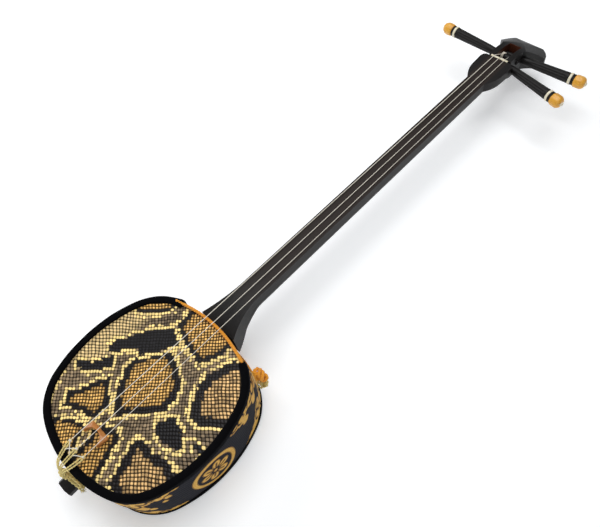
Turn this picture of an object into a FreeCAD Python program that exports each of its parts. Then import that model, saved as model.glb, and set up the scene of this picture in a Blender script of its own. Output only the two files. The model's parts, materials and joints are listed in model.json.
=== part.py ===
"""A three-stringed plucked lute with a snakeskin body, lying on its back.

Frame, in millimetres: X to the right and Y up the neck as the face is seen, Z up out of the face.
The origin is the middle of the back skin, on the plane that the lute rests on.
"""
import FreeCAD
import Part
import math
import os

V = FreeCAD.Vector

# ---- body: four wooden sides, two skins, a cloth cover with piping ---------------------------
half_width = 93.0            # outside of the cover, across
half_length = 93.5           # outside of the cover, along the neck
body_depth = 67.0            # outer face of one skin to outer face of the other
side_radius = 140.0          # long arcs of the outline, left and right
end_radius = 140.0           # long arcs of the outline, neck end and tail end
corner_radius = 58.0         # arcs that join them

fabric_thick = 1.0           # brocade of the cover
core_thick = 1.3             # stiff backing of the brocade
skin_gap = 0.2               # from the backing to the skin's fold
skin_thick = 1.0
skin_lap = 14.0              # how far the skin is folded down over the sides
frame_thick = 9.0            # thickness of the wooden sides
cover_gap = 51.0             # half the width left open in the cover for the neck
core_margin = 4.0            # from the backing's edge to the back skin's face

piping_width = 7.6           # black band seen on the face
piping_rise = 2.6            # how far the band stands above the skin
piping_drop = 6.0            # how far the band reaches down the side
piping_round = 2.2           # rounding of its outer edge
back_piping_high = 6.0       # band at the back edge
back_piping_proud = 0.5      # how far it stands out of the cover
rest_gap = 0.3               # the band is this far above the resting plane

# ---- neck, heel, head ------------------------------------------------------------------------
scale_to_nut = 477.0         # body edge to nut
face_rise_nut = 0.6          # the fingerboard stands this far above the skin at the nut
face_rise_heel = 2.8         # and this far where it starts to fall to the body
face_drop = 8.3              # how far the heel's face falls towards the body
nut_half = 11.8              # half width of the neck at the nut
heel_neck_half = 12.7        # half width of the neck where the heel begins
heel_half = 24.2             # half width of the heel at the body
heel_long = 49.0             # length of the flared heel
drop_long = 44.0             # length over which the heel's face falls
heel_seat = 0.2              # glue line between the heel and the skin's fold
neck_depth_nut = 21.5
neck_depth_heel = 24.5
heel_low = 39.0              # underside of the heel below the skin's face, at the body
heel_level = 9.0             # length of the heel's underside that stays level
neck_side = 9.5              # flat part of the neck's sides
heel_round = 4.0             # depth of the heel's rounded underside
heel_stations = 6            # sections that shape the flared heel
throat_stations = 5          # and the throat below the peg box

stem_width = 17.5            # the part of the neck that passes through the body
stem_flat = 9.3              # flat on its top and bottom
stem_bevel = 5.3             # depth of its bevelled corners
stem_low_front = 15.0        # its top below the skin's face, at the heel
stem_low_tail = 26.0         # and at the tail
stem_high_front = 20.0
stem_high_tail = 16.0
stem_out = 19.0              # how far it stands out of the body at the tail
stem_clearance = 0.1         # in the frame's mortises
stem_cover_gap = 0.5         # in the cover
stem_hole_radii = (4.0, 3.0, 3.0)
stem_hole_pitch = 24.0

wing_half = 21.8             # half width of the two wings below the nut
wing_depth = 15.0
wing_round = 5.0              # rounding of their lower edges
wing_long = 50.0             # from the nut back to where the wings meet the neck
wing_full = 25.0             # from the nut back to where they are nearly full width
wing_end = 8.0               # from the nut back to where they turn in again
wing_turn = 4.0              # from the nut back to their last corner
wing_taper = 1.2             # how much narrower they are at those corners
waist_half = 15.2            # half width of the peg box
box_depth = 27.0             # depth of the peg box
box_back = 6.0               # nut to where the peg box's back starts to fall
head_lap = 8.0               # from the nut back to where the peg box's square section starts

fall_start = 4.5             # nut to where the head's face starts to fall back
flare_start = 29.0           # nut to where the crown starts to widen
flare_mid = 12.0             # further on, the flare has widened by flare_out
flare_out = 5.2
crown_half = 32.5            # half width of the crown above the pegs
crown_corner = 59.0          # nut to the crown's corners
crown_tip = 79.5             # nut to the tip of the crown
crown_nose = 2.2             # the nose of the crown is bowed by this much
crown_fall = 30.0            # how far the crown's face falls back
crown_dome = 9.0             # and how far it falls to each side at its corners
crown_lean = 9.0             # the crown's end leans in by this much
crown_back = 52.6            # lowest point of the crown's back below the fingerboard

slot_half = 8.0              # string slot in the peg box
slot_long = 36.0
slot_depth = 24.0
nut_thick = 2.8
nut_rise = 0.7               # nut above the fingerboard
nut_seat = 1.6               # depth of its groove

# ---- pegs: name, side, place of the axis from the nut, depth below the face, fan angle --------
peg_table = (("low", 1, 6.8, 10.1, -12.5), ("middle", -1, 19.0, 11.4, 3.0), ("high", 1, 30.9, 16.6, 3.9))
peg_bore_near = 4.2          # tapered hole: radius where the peg goes in
peg_bore_far = 3.3           # and where its tip comes out
peg_clearance = 0.05         # running clearance in the hole
peg_start = 1.5              # the throat starts this far outside the wall
peg_stub = 2.0               # the tip stands this far out of the other wall
peg_relief = 0.6             # the wood beside the peg box is cut this far clear of a peg
peg_throat = 12.0            # length of the slim throat outside the head
peg_throat_radius = 5.4
peg_end_radius = 6.7
peg_ring_at = 78.5           # middle of the head to the ring
ring_long = 3.0
ring_radius = 7.2
spacer_long = 3.5
spacer_radius = 6.9
cap_long = 13.5
cap_radius = 7.6
tip_long = 2.0
tip_radius = 2.8
tip_round = 1.2              # radius of its flat end
winding_long = 4.6           # turns of string on each peg
winding_thick = 0.85
winding_place = {"low": 0.0, "middle": -5.0, "high": 5.0}

# ---- strings, bridge, tail cord, tie cord -------------------------------------------------------
string_radii = (0.4, 0.34, 0.29)
string_pegs = ("middle", "low", "high")
string_half_nut = 7.5        # outer strings from the middle, at the nut
string_half_tail = 10.9      # and at the loops
string_tail = 18.5           # body edge to the ends of the strings
string_rise = 7.5            # height of those ends above the skin
string_gap = 0.3             # the strings end this far from the turns on the pegs
nut_bend = 2.0               # bend of a string over the nut's edge
nut_touch = 0.02             # from a string to that edge
string_down = 1.0            # it meets the turns this far in front of the peg's axis

bridge_wide = 25.0
bridge_tall = 12.0
bridge_thick = 5.6
bridge_foot = 62.9           # middle of the body to the plane of its feet
bridge_leg = 2.6
bridge_crown = 3.5           # depth of wood over the arch
bridge_gap = 0.06            # it lies loose on the skin
bridge_shift = -0.6          # it lies this far off the middle
bridge_splay = 1.0           # the feet stand in by this much
bridge_crest = 0.8           # the crown is bowed by this much

loop_radius = 1.5            # each loop of tail cord, as one strand
loop_gap = 0.35              # from a loop to the piping
knot_radius = 6.0
knot_low = 10.0              # middle of the tail knot below the skin's face
knot_out = 6.6               # and from the body's edge
knot_gap = 0.05              # around each knot
collar_thick = 3.0
collar_long = 8.0
collar_gap = 1.0             # from the body to the turns round the stem
collar_play = 0.02           # from those turns to the stem
tail_end_radius = 1.5
tail_end_pitch = 3.4         # between the two loose ends, along the stem
tail_end_step = 4.4          # and in height

tie_radius = 1.7
tie_inset = 4.4
tie_gap = 0.1                # from the cord to the skins
tie_short = 1.0              # the cord stops this far from the cover's ends
tie_knot_radius = 8.6
tie_knot_low = 13.0          # middle of the tie knot below the skin's face
tie_knot_angle = 56.0        # where it sits on the corner arc
tie_knot_gap = 0.4
tassel_radius = 5.5
tassel_angle = 51.0
tassel_gap = 1.2
tassel_drops = (4.0, 13.0, 23.0)


# ---- helpers -----------------------------------------------------------------------------------
def line(a, b):
    return Part.LineSegment(V(*a), V(*b)).toShape()


def arc(a, b, c):
    return Part.Arc(V(*a), V(*b), V(*c)).toShape()


def corner_centre():
    """Centre of the corner arc: it touches the side arc and the end arc from inside."""
    ax, by = half_width - side_radius, half_length - end_radius
    r1, r2 = side_radius - corner_radius, end_radius - corner_radius
    gap = math.hypot(ax, by)
    along = (gap ** 2 + r1 ** 2 - r2 ** 2) / (2 * gap)
    off = math.sqrt(r1 ** 2 - along ** 2)
    ux, uy = -ax / gap, by / gap
    return V(ax + along * ux - off * uy, along * uy + off * ux, 0)


def rim(inset, z=0.0):
    """The body's outline, moved inwards by inset: four long arcs and four corner arcs."""
    c = corner_centre()
    side, end = V(half_width - side_radius, 0, 0), V(0, half_length - end_radius, 0)
    r_side, r_end, r_corner = (r - inset for r in (side_radius, end_radius, corner_radius))
    p1 = c + (c - side).normalize() * r_corner
    p2 = c + (c - end).normalize() * r_corner
    mid = c + ((p1 + p2) * 0.5 - c).normalize() * r_corner
    right, top = side + V(r_side, 0, 0), end + V(0, r_end, 0)

    def at(p, sx, sy):
        return (sx * p.x, sy * p.y, z)

    edges = [
        arc(at(p1, 1, -1), at(right, 1, 1), at(p1, 1, 1)), arc(at(p1, 1, 1), at(mid, 1, 1), at(p2, 1, 1)),
        arc(at(p2, 1, 1), at(top, 1, 1), at(p2, -1, 1)), arc(at(p2, -1, 1), at(mid, -1, 1), at(p1, -1, 1)),
        arc(at(p1, -1, 1), at(right, -1, 1), at(p1, -1, -1)),
        arc(at(p1, -1, -1), at(mid, -1, -1), at(p2, -1, -1)),
        arc(at(p2, -1, -1), at(top, 1, -1), at(p2, 1, -1)), arc(at(p2, 1, -1), at(mid, 1, -1), at(p1, 1, -1)),
    ]
    return Part.Wire(edges)


def slab(inset, low, high):
    """A plate of the body's outline between two heights."""
    return Part.Face(rim(inset, low)).extrude(V(0, 0, high - low))


def ring(outer, inner, low, high):
    return slab(outer, low, high).cut(slab(inner, low - 1, high + 1))


def box(x0, x1, y0, y1, z0, z1):
    return Part.makeBox(x1 - x0, y1 - y0, z1 - z0, V(x0, y0, z0))


def tube(points, radius):
    """A round cord along straight runs joined by tangent arcs, each as large as its runs allow."""
    pts = [V(*p) for p in points]
    edges, start = [], pts[0]
    for before, here, after in zip(pts, pts[1:], pts[2:]):
        u, w = (before - here), (after - here)
        cut = 0.45 * min(u.Length, w.Length)
        u.normalize()
        w.normalize()
        turn = math.pi - u.getAngle(w)
        bend = cut / math.tan(turn / 2)
        a, b = here + u * cut, here + w * cut
        middle = (u + w).normalize()
        centre = here + middle * math.hypot(bend, cut)
        edges.append(Part.LineSegment(start, a).toShape())
        edges.append(Part.Arc(a, centre - middle * bend, b).toShape())
        start = b
    edges.append(Part.LineSegment(start, pts[-1]).toShape())
    path = Part.Wire(edges)
    circle = Part.Wire(Part.makeCircle(radius, pts[0], pts[1] - pts[0]))
    return path.makePipeShell([circle], True, False)


def turned(profile, base, direction):
    """A round solid from (distance along, radius) pairs, set on an axis."""
    pts = [V(0, 0, profile[0][0])] + [V(r, 0, d) for d, r in profile] + [V(0, 0, profile[-1][0])]
    shape = Part.Face(Part.makePolygon(pts + [pts[0]])).revolve(V(0, 0, 0), V(0, 0, 1), 360)
    shape.Placement = FreeCAD.Placement(base, FreeCAD.Rotation(V(0, 0, 1), direction))
    return shape


def ease(t):
    t = min(max(t, 0.0), 1.0)
    return t * t * (3 - 2 * t)


def mix(a, b, t):
    return a + (b - a) * t


# ---- places that follow from the sizes ------------------------------------------------------------
nut_y = half_length + scale_to_nut
face_at_nut = body_depth + face_rise_nut
face_at_heel = body_depth + face_rise_heel
fold_inset = fabric_thick + core_thick + skin_gap
frame_inset = fold_inset + skin_thick
heel_y = half_length - fold_inset + heel_seat
stem_front_y = half_length - frame_inset
stem_tail_y = -half_length - stem_out
slope = (face_at_nut - face_at_heel) / (nut_y - heel_y - drop_long)


def face_high(y):
    """Height of the fingerboard: a plane that leans back a little, and an arc down at the heel."""
    plane = face_at_nut + slope * (y - nut_y)
    t = min(max((heel_y + drop_long - y) / drop_long, 0.0), 1.0)
    return plane - face_drop * t * t


def neck_half(y):
    """Half width of the neck: straight, with a round flare at the heel."""
    start = heel_y + heel_long
    straight = mix(heel_neck_half, nut_half, (y - start) / (nut_y - start))
    if y >= start:
        return straight
    flare = heel_half - heel_neck_half
    bend = (heel_long ** 2 + flare ** 2) / (2 * flare)
    return heel_neck_half + bend - math.sqrt(bend ** 2 - (start - y) ** 2)


def neck_bottom(y):
    start = heel_y + heel_long
    depth = mix(neck_depth_heel, neck_depth_nut, max(y - start, 0) / (nut_y - start))
    level = heel_y + heel_level
    return mix(body_depth - heel_low, face_high(y) - depth, ease((y - level) / (start - level)))


def neck_section(y):
    """Flat top, upright sides, and a back that is round along the neck and flatter at both ends."""
    w, top, low = neck_half(y), face_high(y), neck_bottom(y)
    slim = ease((y - heel_y) / heel_long) * ease((nut_y - head_lap - y) / (wing_long - head_lap))
    turn = mix(low + heel_round, top - neck_side, slim)
    return Part.Wire([
        line((-w, y, top), (w, y, top)), line((w, y, top), (w, y, turn)),
        arc((w, y, turn), (0, y, low), (-w, y, turn)), line((-w, y, turn), (-w, y, top)),
    ])


def stem_section(y, grow=0.0):
    """Eight-sided section of the stem, lower and slimmer towards the tail."""
    t = (stem_front_y - y) / (stem_front_y - stem_tail_y)
    top = body_depth - mix(stem_low_front, stem_low_tail, t) + grow
    low = top - mix(stem_high_front, stem_high_tail, t) - 2 * grow
    w, f, b = stem_width / 2 + grow, stem_flat / 2 + grow / 2, stem_bevel
    xz = ((f, top), (w, top - b), (w, low + b), (f, low), (-f, low), (-w, low + b), (-w, top - b), (-f, top))
    return Part.makePolygon([V(x, y, z) for x, z in xz + (xz[0],)])


def stem(grow=0.0, front=None, tail=None):
    ends = (stem_front_y if front is None else front, stem_tail_y if tail is None else tail)
    return Part.makeLoft([stem_section(y, grow) for y in ends], True, True)


# ---- neck -------------------------------------------------------------------------------------------
def crown_arc_size():
    """Length along Y and radius of the arc that the head's face falls along, which starts level."""
    run = crown_tip - fall_start
    return run, (run ** 2 + crown_fall ** 2) / (2 * crown_fall)


def crown_arc_mid():
    """Middle of that arc: its Y and Z."""
    run, bend = crown_arc_size()
    half = math.asin(run / bend) / 2
    return nut_y + fall_start + bend * math.sin(half), face_at_nut - bend * (1 - math.cos(half))


def head_profile():
    """Side view of the head, seen along X."""
    neck_y = nut_y - head_lap
    fall = (0, nut_y + fall_start, face_at_nut)
    tip = (0, nut_y + crown_tip, face_at_nut - crown_fall)
    back = (0, tip[1] - crown_lean, face_at_nut - crown_back)
    under = (0, nut_y + box_back, face_at_nut - box_depth)
    between = (0, mix(under[1], back[1], 0.56), mix(back[2], under[2], 0.72))
    low, top = (0, neck_y, neck_bottom(neck_y)), (0, neck_y, face_high(neck_y))
    return Part.Wire([
        line(top, fall), arc(fall, (0, *crown_arc_mid()), tip), line(tip, back),
        arc(back, between, under), line(under, low), line(low, top)])


def mirrored_face(right):
    """A face from the right half of an outline, mirrored in X.

    A step of two numbers is a straight line to that point, and a step of four is an arc through
    the first point to the second.
    """
    edges, here = [], right[0]
    for step in right[1:]:
        if len(step) == 4:
            mx, my, ex, ey = step
            edges.append(arc((here[0], here[1], 0), (mx, my, 0), (ex, ey, 0)))
            edges.append(arc((-here[0], here[1], 0), (-mx, my, 0), (-ex, ey, 0)))
            here = (ex, ey)
        else:
            edges.append(line((here[0], here[1], 0), (step[0], step[1], 0)))
            edges.append(line((-here[0], here[1], 0), (-step[0], step[1], 0)))
            here = step
    start_x, start_y = right[0]
    closing = [line((-start_x, start_y, 0), (start_x, start_y, 0))]
    return Part.Face(Part.Wire(Part.__sortEdges__(edges + closing)))


def head_solid():
    """What the side view and the plan of the peg box and crown have in common."""
    side = Part.Face(head_profile())
    side.translate(V(-2 * crown_half, 0, 0))
    side = side.extrude(V(4 * crown_half, 0, 0))
    neck_y = nut_y - head_lap
    corner_y, tip_y = nut_y + crown_corner, nut_y + crown_tip
    flare_y = nut_y + flare_start
    plan = mirrored_face([
        (neck_half(neck_y), neck_y), (waist_half, nut_y + 2), (waist_half, flare_y),
        (waist_half + flare_out, flare_y + flare_mid, crown_half, corner_y),
        (crown_half * 0.88, mix(corner_y, tip_y, 0.52), crown_half * 0.46, tip_y - crown_nose),
        (crown_half * 0.24, tip_y - 0.26 * crown_nose, 0, tip_y)])
    return side.common(plan.extrude(V(0, 0, 2 * face_at_nut))).cut(above_dome())


def above_dome():
    """What lies over a cylinder that touches the crown's face along its middle, half way down the fall."""
    radius = (crown_half ** 2 + crown_dome ** 2) / (2 * crown_dome)
    flare_y, tip_y = nut_y + flare_start, nut_y + crown_tip
    middle_y = (flare_y + tip_y) / 2
    _, fall_bend = crown_arc_size()
    lean = math.asin((middle_y - nut_y - fall_start) / fall_bend)
    high = face_at_nut - fall_bend * (1 - math.cos(lean))
    along, up = V(0, math.cos(lean), -math.sin(lean)), V(0, math.sin(lean), math.cos(lean))
    long = 3 * crown_half
    middle = V(0, middle_y, high)
    drum = Part.makeCylinder(radius, 2 * long, middle - up * radius - along * long, along)
    return box(-crown_half - 1, crown_half + 1, flare_y, tip_y + 1, 0, 2 * face_at_nut).cut(drum)


def make_wings():
    """Two rounded wings beside the neck below the nut, level with the fingerboard."""
    start_y, end_y = nut_y - wing_long, nut_y + 1
    neck_x, full = nut_half - 1.0, wing_half - 0.8
    plan = mirrored_face([
        (neck_x, start_y), (mix(neck_x, full, 0.65), nut_y - mix(wing_full, wing_long, 0.6), full,
         nut_y - wing_full), (wing_half, nut_y - wing_end), (wing_half - wing_taper, nut_y - wing_turn),
        (waist_half - 0.5, end_y), (0, end_y)])
    low = face_at_nut - wing_depth
    side = Part.Face(Part.makePolygon([
        V(0, start_y - 1, low), V(0, end_y + 1, low), V(0, end_y + 1, face_high(end_y + 1)),
        V(0, start_y - 1, face_high(start_y - 1)), V(0, start_y - 1, low)]))
    side.translate(V(-2 * wing_half, 0, 0))
    wings = plan.extrude(V(0, 0, 2 * face_at_nut)).common(side.extrude(V(4 * wing_half, 0, 0)))
    lower = [edge for edge in wings.Edges if edge.BoundBox.ZMax < low + 0.01 and abs(edge.CenterOfMass.x) > neck_x]
    return wings.makeFillet(wing_round, lower)


def peg_axis(spec):
    """Middle point of a peg's axis and its direction out of the head."""
    name, side, from_nut, below, fan = spec
    a = math.radians(fan)
    return V(0, nut_y + from_nut, face_at_nut - below), V(side * math.cos(a), math.sin(a), 0)


def peg_hole(spec):
    """The tapered hole through both walls, and the wood cut clear of the peg outside the near one."""
    base, out = peg_axis(spec)
    taper = (peg_bore_near - peg_bore_far) / (2 * waist_half)
    reach = waist_half + peg_start
    hole = [(-reach, peg_bore_far - taper * peg_start), (reach, peg_bore_near + taper * peg_start)]
    wall = waist_half + 0.4
    wide = peg_throat_radius + peg_relief
    clear = [(wall, peg_bore_near + peg_relief), (reach + peg_throat, wide), (3 * crown_half, wide + 2.0)]
    return turned(hole, base, out).fuse(turned(clear, base, out))


def winding_radius():
    """The turns lie on the tapered shaft, about half way between the walls."""
    return (peg_bore_near + peg_bore_far) / 2 + winding_thick


def make_neck():
    start = heel_y + heel_long
    stations = [heel_y + heel_long * i / heel_stations for i in range(heel_stations + 1)]
    heel = Part.makeLoft([neck_section(y) for y in stations], True, False)
    throat_y = nut_y - wing_long
    shaft = Part.makeLoft([neck_section(start), neck_section(throat_y)], True, True)
    shares = [i / throat_stations for i in range(throat_stations + 1)]
    throat = Part.makeLoft([neck_section(mix(throat_y, nut_y - 1, t)) for t in shares], True, False)
    neck = heel.fuse([shaft, throat, head_solid(), make_wings(), stem(front=heel_y + 2)])
    above = 2 * body_depth
    slot_y = nut_y + nut_thick / 2
    slot = box(-slot_half, slot_half, slot_y, slot_y + slot_long, face_at_nut - slot_depth, above)
    low = face_at_nut - nut_seat
    groove = box(-wing_half, wing_half, nut_y - nut_thick / 2, slot_y, low, above)
    stem_holes = [
        Part.makeCylinder(r, above, V(0, (1 - i) * stem_hole_pitch, 0)) for i, r in enumerate(stem_hole_radii)
    ]
    return neck.cut([slot, groove] + stem_holes + [peg_hole(spec) for spec in peg_table]).removeSplitter()


def make_nut():
    low = face_at_nut - nut_seat
    return box(-nut_half, nut_half, nut_y - nut_thick / 2, nut_y + nut_thick / 2, low, face_at_nut + nut_rise)


# ---- pegs ---------------------------------------------------------------------------------------------
def make_peg(spec):
    """The pieces of one peg, each starting where the one before it ends."""
    base, out = peg_axis(spec)
    taper = (peg_bore_near - peg_bore_far) / (2 * waist_half)
    tip_end, throat = -waist_half - peg_stub, waist_half + peg_start
    far = peg_bore_far - taper * peg_stub - peg_clearance
    near = peg_bore_near + taper * peg_start - peg_clearance
    profiles = {"shaft": [
        (tip_end, far), (throat, near), (throat + peg_throat, peg_throat_radius), (peg_ring_at, peg_end_radius)]}
    at = peg_ring_at
    profiles["ring"] = [(at, ring_radius), (at + ring_long, ring_radius)]
    at += ring_long
    profiles["spacer"] = [(at, spacer_radius), (at + spacer_long, spacer_radius)]
    at += spacer_long
    profiles["cap"] = [
        (at + cap_long * share, cap_radius * size)
        for share, size in ((0, 0.9), (0.2, 1.0), (0.68, 1.0), (0.9, 0.8), (1.0, 0.5))]
    at += cap_long
    profiles["tip"] = [(at, tip_radius), (at + tip_long * 0.6, tip_radius * 0.9), (at + tip_long, tip_round)]
    pieces = {name: turned(profile, base, out) for name, profile in profiles.items()}
    centre = winding_place[spec[0]] * spec[1]
    half, radius = winding_long / 2, winding_radius()
    pieces["winding"] = turned([(centre - half, radius), (centre + half, radius)], base, out).cut(pieces["shaft"])
    return pieces


# ---- strings --------------------------------------------------------------------------------------------
def make_string(i):
    """From its loop at the tail, straight to the nut, over its back edge and down to its peg."""
    side, r = (-1, 0, 1)[i], string_radii[i]
    spec = next(s for s in peg_table if s[0] == string_pegs[i])
    base, out = peg_axis(spec)
    tail = V(side * string_half_tail, -half_length + string_tail, body_depth + string_rise)
    turns = base + out * (winding_place[spec[0]] * spec[1])
    rise = winding_radius() + r + string_gap
    down = V(turns.x, turns.y - string_down, turns.z + rise)
    edge = V(side * string_half_nut, nut_y + nut_thick / 2, face_at_nut + nut_rise)
    back, ahead = (tail - edge).normalize(), (down - edge).normalize()
    turn = math.pi - back.getAngle(ahead)
    middle = (back + ahead).normalize()
    dip = nut_bend * (1 / math.cos(turn / 2) - 1)
    over = edge - middle * (r + nut_touch + dip)
    back, ahead = (tail - over).normalize(), (down - over).normalize()
    cut = nut_bend * math.tan(turn / 2)
    centre = over + middle * math.hypot(nut_bend, cut)
    a, b = over + back * cut, over + ahead * cut
    path = Part.Wire([
        Part.LineSegment(tail, a).toShape(), Part.Arc(a, centre - middle * nut_bend, b).toShape(),
        Part.LineSegment(b, down).toShape()])
    circle = Part.Wire(Part.makeCircle(r, tail, back * -1))
    return path.makePipeShell([circle], True, False)


# ---- bridge: a small arch, lying on the skin with its feet to the tail --------------------------------------
def make_bridge():
    half, high = bridge_wide / 2, bridge_tall
    inner, arch, side = half - bridge_leg, high - bridge_crown, high - bridge_crest
    foot = half - bridge_splay

    def p(x, y):
        return (bridge_shift + x, y - bridge_foot, body_depth + bridge_gap)

    edges = [
        line(p(inner, 0), p(foot, 0)), line(p(foot, 0), p(half, side)),
        arc(p(half, side), p(0, high), p(-half, side)),
        line(p(-half, side), p(-foot, 0)), line(p(-foot, 0), p(-inner, 0)),
        arc(p(-inner, 0), p(0, arch), p(inner, 0)),
    ]
    return Part.Face(Part.Wire(edges)).extrude(V(0, 0, bridge_thick))


# ---- tail cord -----------------------------------------------------------------------------------------------
knot_place = V(0, -half_length - knot_out, body_depth - knot_low)


def make_tail_knot(grow=0.0):
    return Part.makeSphere(knot_radius + grow, knot_place)


def make_tail_loop(i):
    """One loop, from the end of its string over the piping and down to the knot."""
    side = (-1, 0, 1)[i]
    x, y, z = side * string_half_tail, -half_length + string_tail, body_depth + string_rise
    over = body_depth + piping_rise + loop_radius + loop_gap
    near = side * knot_radius * 0.55
    points = [
        (x, y - 0.4, z), (x * 0.9, y - 9, mix(z, over, 0.6)), (x * 0.72, -half_length + 1.5, over),
        (near * 1.15, -half_length - 4.6, over - 3.4), (near, knot_place.y, knot_place.z + knot_radius * 0.9),
    ]
    return tube(points, loop_radius).cut(make_tail_knot(knot_gap))


def make_collar():
    """The tail cord's turns round the end of the stem."""
    y0 = -half_length - collar_gap
    outer = Part.makeLoft([stem_section(y, collar_thick) for y in (y0, y0 - collar_long)], True, True)
    return outer.cut([stem(collar_play), make_tail_knot(knot_gap)])


def make_tail_ends():
    """The two loose ends of the tail cord, laid to the right over the turns round the stem."""
    y0 = -half_length - tail_end_pitch
    top = body_depth - stem_low_tail + collar_thick + tail_end_radius + 1.2
    strands = []
    for k in (0, 1):
        y, z = y0 - tail_end_pitch * k, top + tail_end_step * (1 - k)
        points = [(knot_radius * 0.9, y, z), (10.5, y - 0.6, z - 0.8), (19.0 - 1.5 * k, y - 0.2, z - 4.2)]
        strands.append(tube(points, tail_end_radius).cut(make_tail_knot(knot_gap)))
    return Part.Compound(strands)


# ---- body ---------------------------------------------------------------------------------------------------------
def neck_gap():
    """The stretch of the outline that the cover and its piping leave free for the neck."""
    return box(-cover_gap, cover_gap, 0, 2 * half_length, -body_depth, 2 * body_depth)


def make_frame():
    """Four sides, mitred at the corners, with mortises for the stem."""
    whole = ring(frame_inset, frame_inset + frame_thick, skin_thick, body_depth - skin_thick)
    whole = whole.cut(stem(stem_clearance, front=heel_y + 5, tail=stem_tail_y - 5))
    corner = corner_centre()
    corner *= 2 * max(half_width / corner.x, half_length / corner.y)
    sides = {}
    for name, ends in (("top", ((1, 1), (-1, 1))), ("bottom", ((1, -1), (-1, -1))),
                       ("left", ((-1, 1), (-1, -1))), ("right", ((1, 1), (1, -1)))):
        pts = [V(0, 0, -1)] + [V(sx * corner.x, sy * corner.y, -1) for sx, sy in ends]
        wedge = Part.Face(Part.makePolygon(pts + [pts[0]])).extrude(V(0, 0, body_depth + 2))
        sides["frame_" + name] = whole.common(wedge)
    return sides


def make_skin(front):
    """A skin pulled over the frame, with its edge folded down the sides."""
    if front:
        plate = slab(fold_inset, body_depth - skin_thick, body_depth)
        fold = ring(fold_inset, frame_inset, body_depth - skin_lap, body_depth - skin_thick)
    else:
        plate = slab(fold_inset, 0, skin_thick)
        fold = ring(fold_inset, frame_inset, skin_thick, skin_lap)
    return plate.fuse(fold).removeSplitter()


def make_cover(outer, inner, low, high):
    """A band round the body, open at the neck, with a slot for the stem at the tail."""
    band = ring(outer, inner, low, high)
    return band.cut([neck_gap(), stem(stem_cover_gap, tail=stem_tail_y - 5)])


def make_front_piping():
    """The band on the face: a rounded outer edge, over the skin's rim and down the side."""
    low, high = body_depth - piping_drop, body_depth + piping_rise
    whole = slab(0, low, high)
    top_edges = [e for e in whole.Edges if min(v.Z for v in e.Vertexes) > high - 0.01]
    whole = whole.makeFillet(piping_round, top_edges)
    opening = slab(piping_width, body_depth, high + 1)
    below = slab(fold_inset, low - 1, body_depth + 0.02)
    return whole.cut([opening, below, neck_gap()])


def make_back_piping():
    band = ring(-back_piping_proud, fabric_thick, rest_gap, rest_gap + back_piping_high)
    return band.cut(neck_gap())


def end_arc_y(inset, x):
    """Y of the point at x on the neck-end arc of the outline, moved inwards by inset."""
    r = end_radius - inset
    return half_length - end_radius + math.sqrt(r * r - x * x)


def make_tie_cord(front):
    """A cord that ties the cover's two ends together across the neck."""
    reach = cover_gap - tie_radius - tie_short
    if front:
        inset, z = tie_inset, body_depth + tie_radius + tie_gap
    else:
        inset, z = fold_inset - tie_radius - tie_gap, tie_radius + 3 * rest_gap
    a, b, c = ((x, end_arc_y(inset, x), z) for x in (-reach, 0.0, reach))
    path = Part.Wire([arc(a, b, c)])
    start = path.Edges[0].tangentAt(path.Edges[0].FirstParameter)
    circle = Part.Wire(Part.makeCircle(tie_radius, V(*a), start))
    return path.makePipeShell([circle], True, False)


def corner_point(angle, out):
    """A point outside the neck-end right corner, at an angle on its arc."""
    c, a = corner_centre(), math.radians(angle)
    r = corner_radius + out
    return c.x + r * math.cos(a), c.y + r * math.sin(a)


def make_tie_knot(grow=0.0):
    x, y = corner_point(tie_knot_angle, tie_knot_radius + tie_knot_gap)
    return Part.makeSphere(tie_knot_radius + grow, V(x, y, body_depth - tie_knot_low))


def make_tie_tassel():
    """The bunched ends of the tie cord, hanging from the knot down the side."""
    x0, y0 = corner_point(tie_knot_angle, tie_knot_radius + tie_knot_gap)
    x1, y1 = corner_point(tassel_angle, tassel_radius + tassel_gap)
    high, bend, low = (body_depth - tie_knot_low - drop for drop in tassel_drops)
    bunch = tube([(x0, y0, high), (x0, y0, bend), (x1, y1, low)], tassel_radius)
    return bunch.cut(make_tie_knot(knot_gap))


def main():
    os.makedirs("parts", exist_ok=True)
    parts = {"neck": make_neck(), "nut": make_nut(), "bridge": make_bridge()}
    for spec in peg_table:
        for piece, shape in make_peg(spec).items():
            parts[f"peg_{spec[0]}_{piece}"] = shape
    for i in range(3):
        parts[f"string_{i + 1}"] = make_string(i)
        parts[f"tail_loop_{i + 1}"] = make_tail_loop(i)
    parts["tail_knot"] = make_tail_knot()
    parts["tail_collar"] = make_collar()
    parts["tail_cord_ends"] = make_tail_ends()
    parts.update(make_frame())
    parts["front_skin"] = make_skin(True)
    parts["back_skin"] = make_skin(False)
    low, high = rest_gap + back_piping_high, body_depth - piping_drop
    parts["cover_core"] = make_cover(fabric_thick, fabric_thick + core_thick, core_margin, high)
    parts["cover_fabric"] = make_cover(0.0, fabric_thick, low, high)
    parts["front_piping"] = make_front_piping()
    parts["back_piping"] = make_back_piping()
    parts["tie_cord_front"] = make_tie_cord(True)
    parts["tie_cord_back"] = make_tie_cord(False)
    parts["tie_knot"] = make_tie_knot()
    parts["tie_tassel"] = make_tie_tassel()
    for name, shape in parts.items():
        shape.exportStep(f"parts/{name}.step")
        reach = shape.BoundBox
        print(f"{name:20s} solids {len(shape.Solids)} valid {shape.isValid()} volume {shape.Volume:10.1f} "
              f"x {reach.XMin:7.2f} {reach.XMax:7.2f} y {reach.YMin:7.2f} {reach.YMax:7.2f} "
              f"z {reach.ZMin:6.2f} {reach.ZMax:6.2f}")


main()
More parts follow.
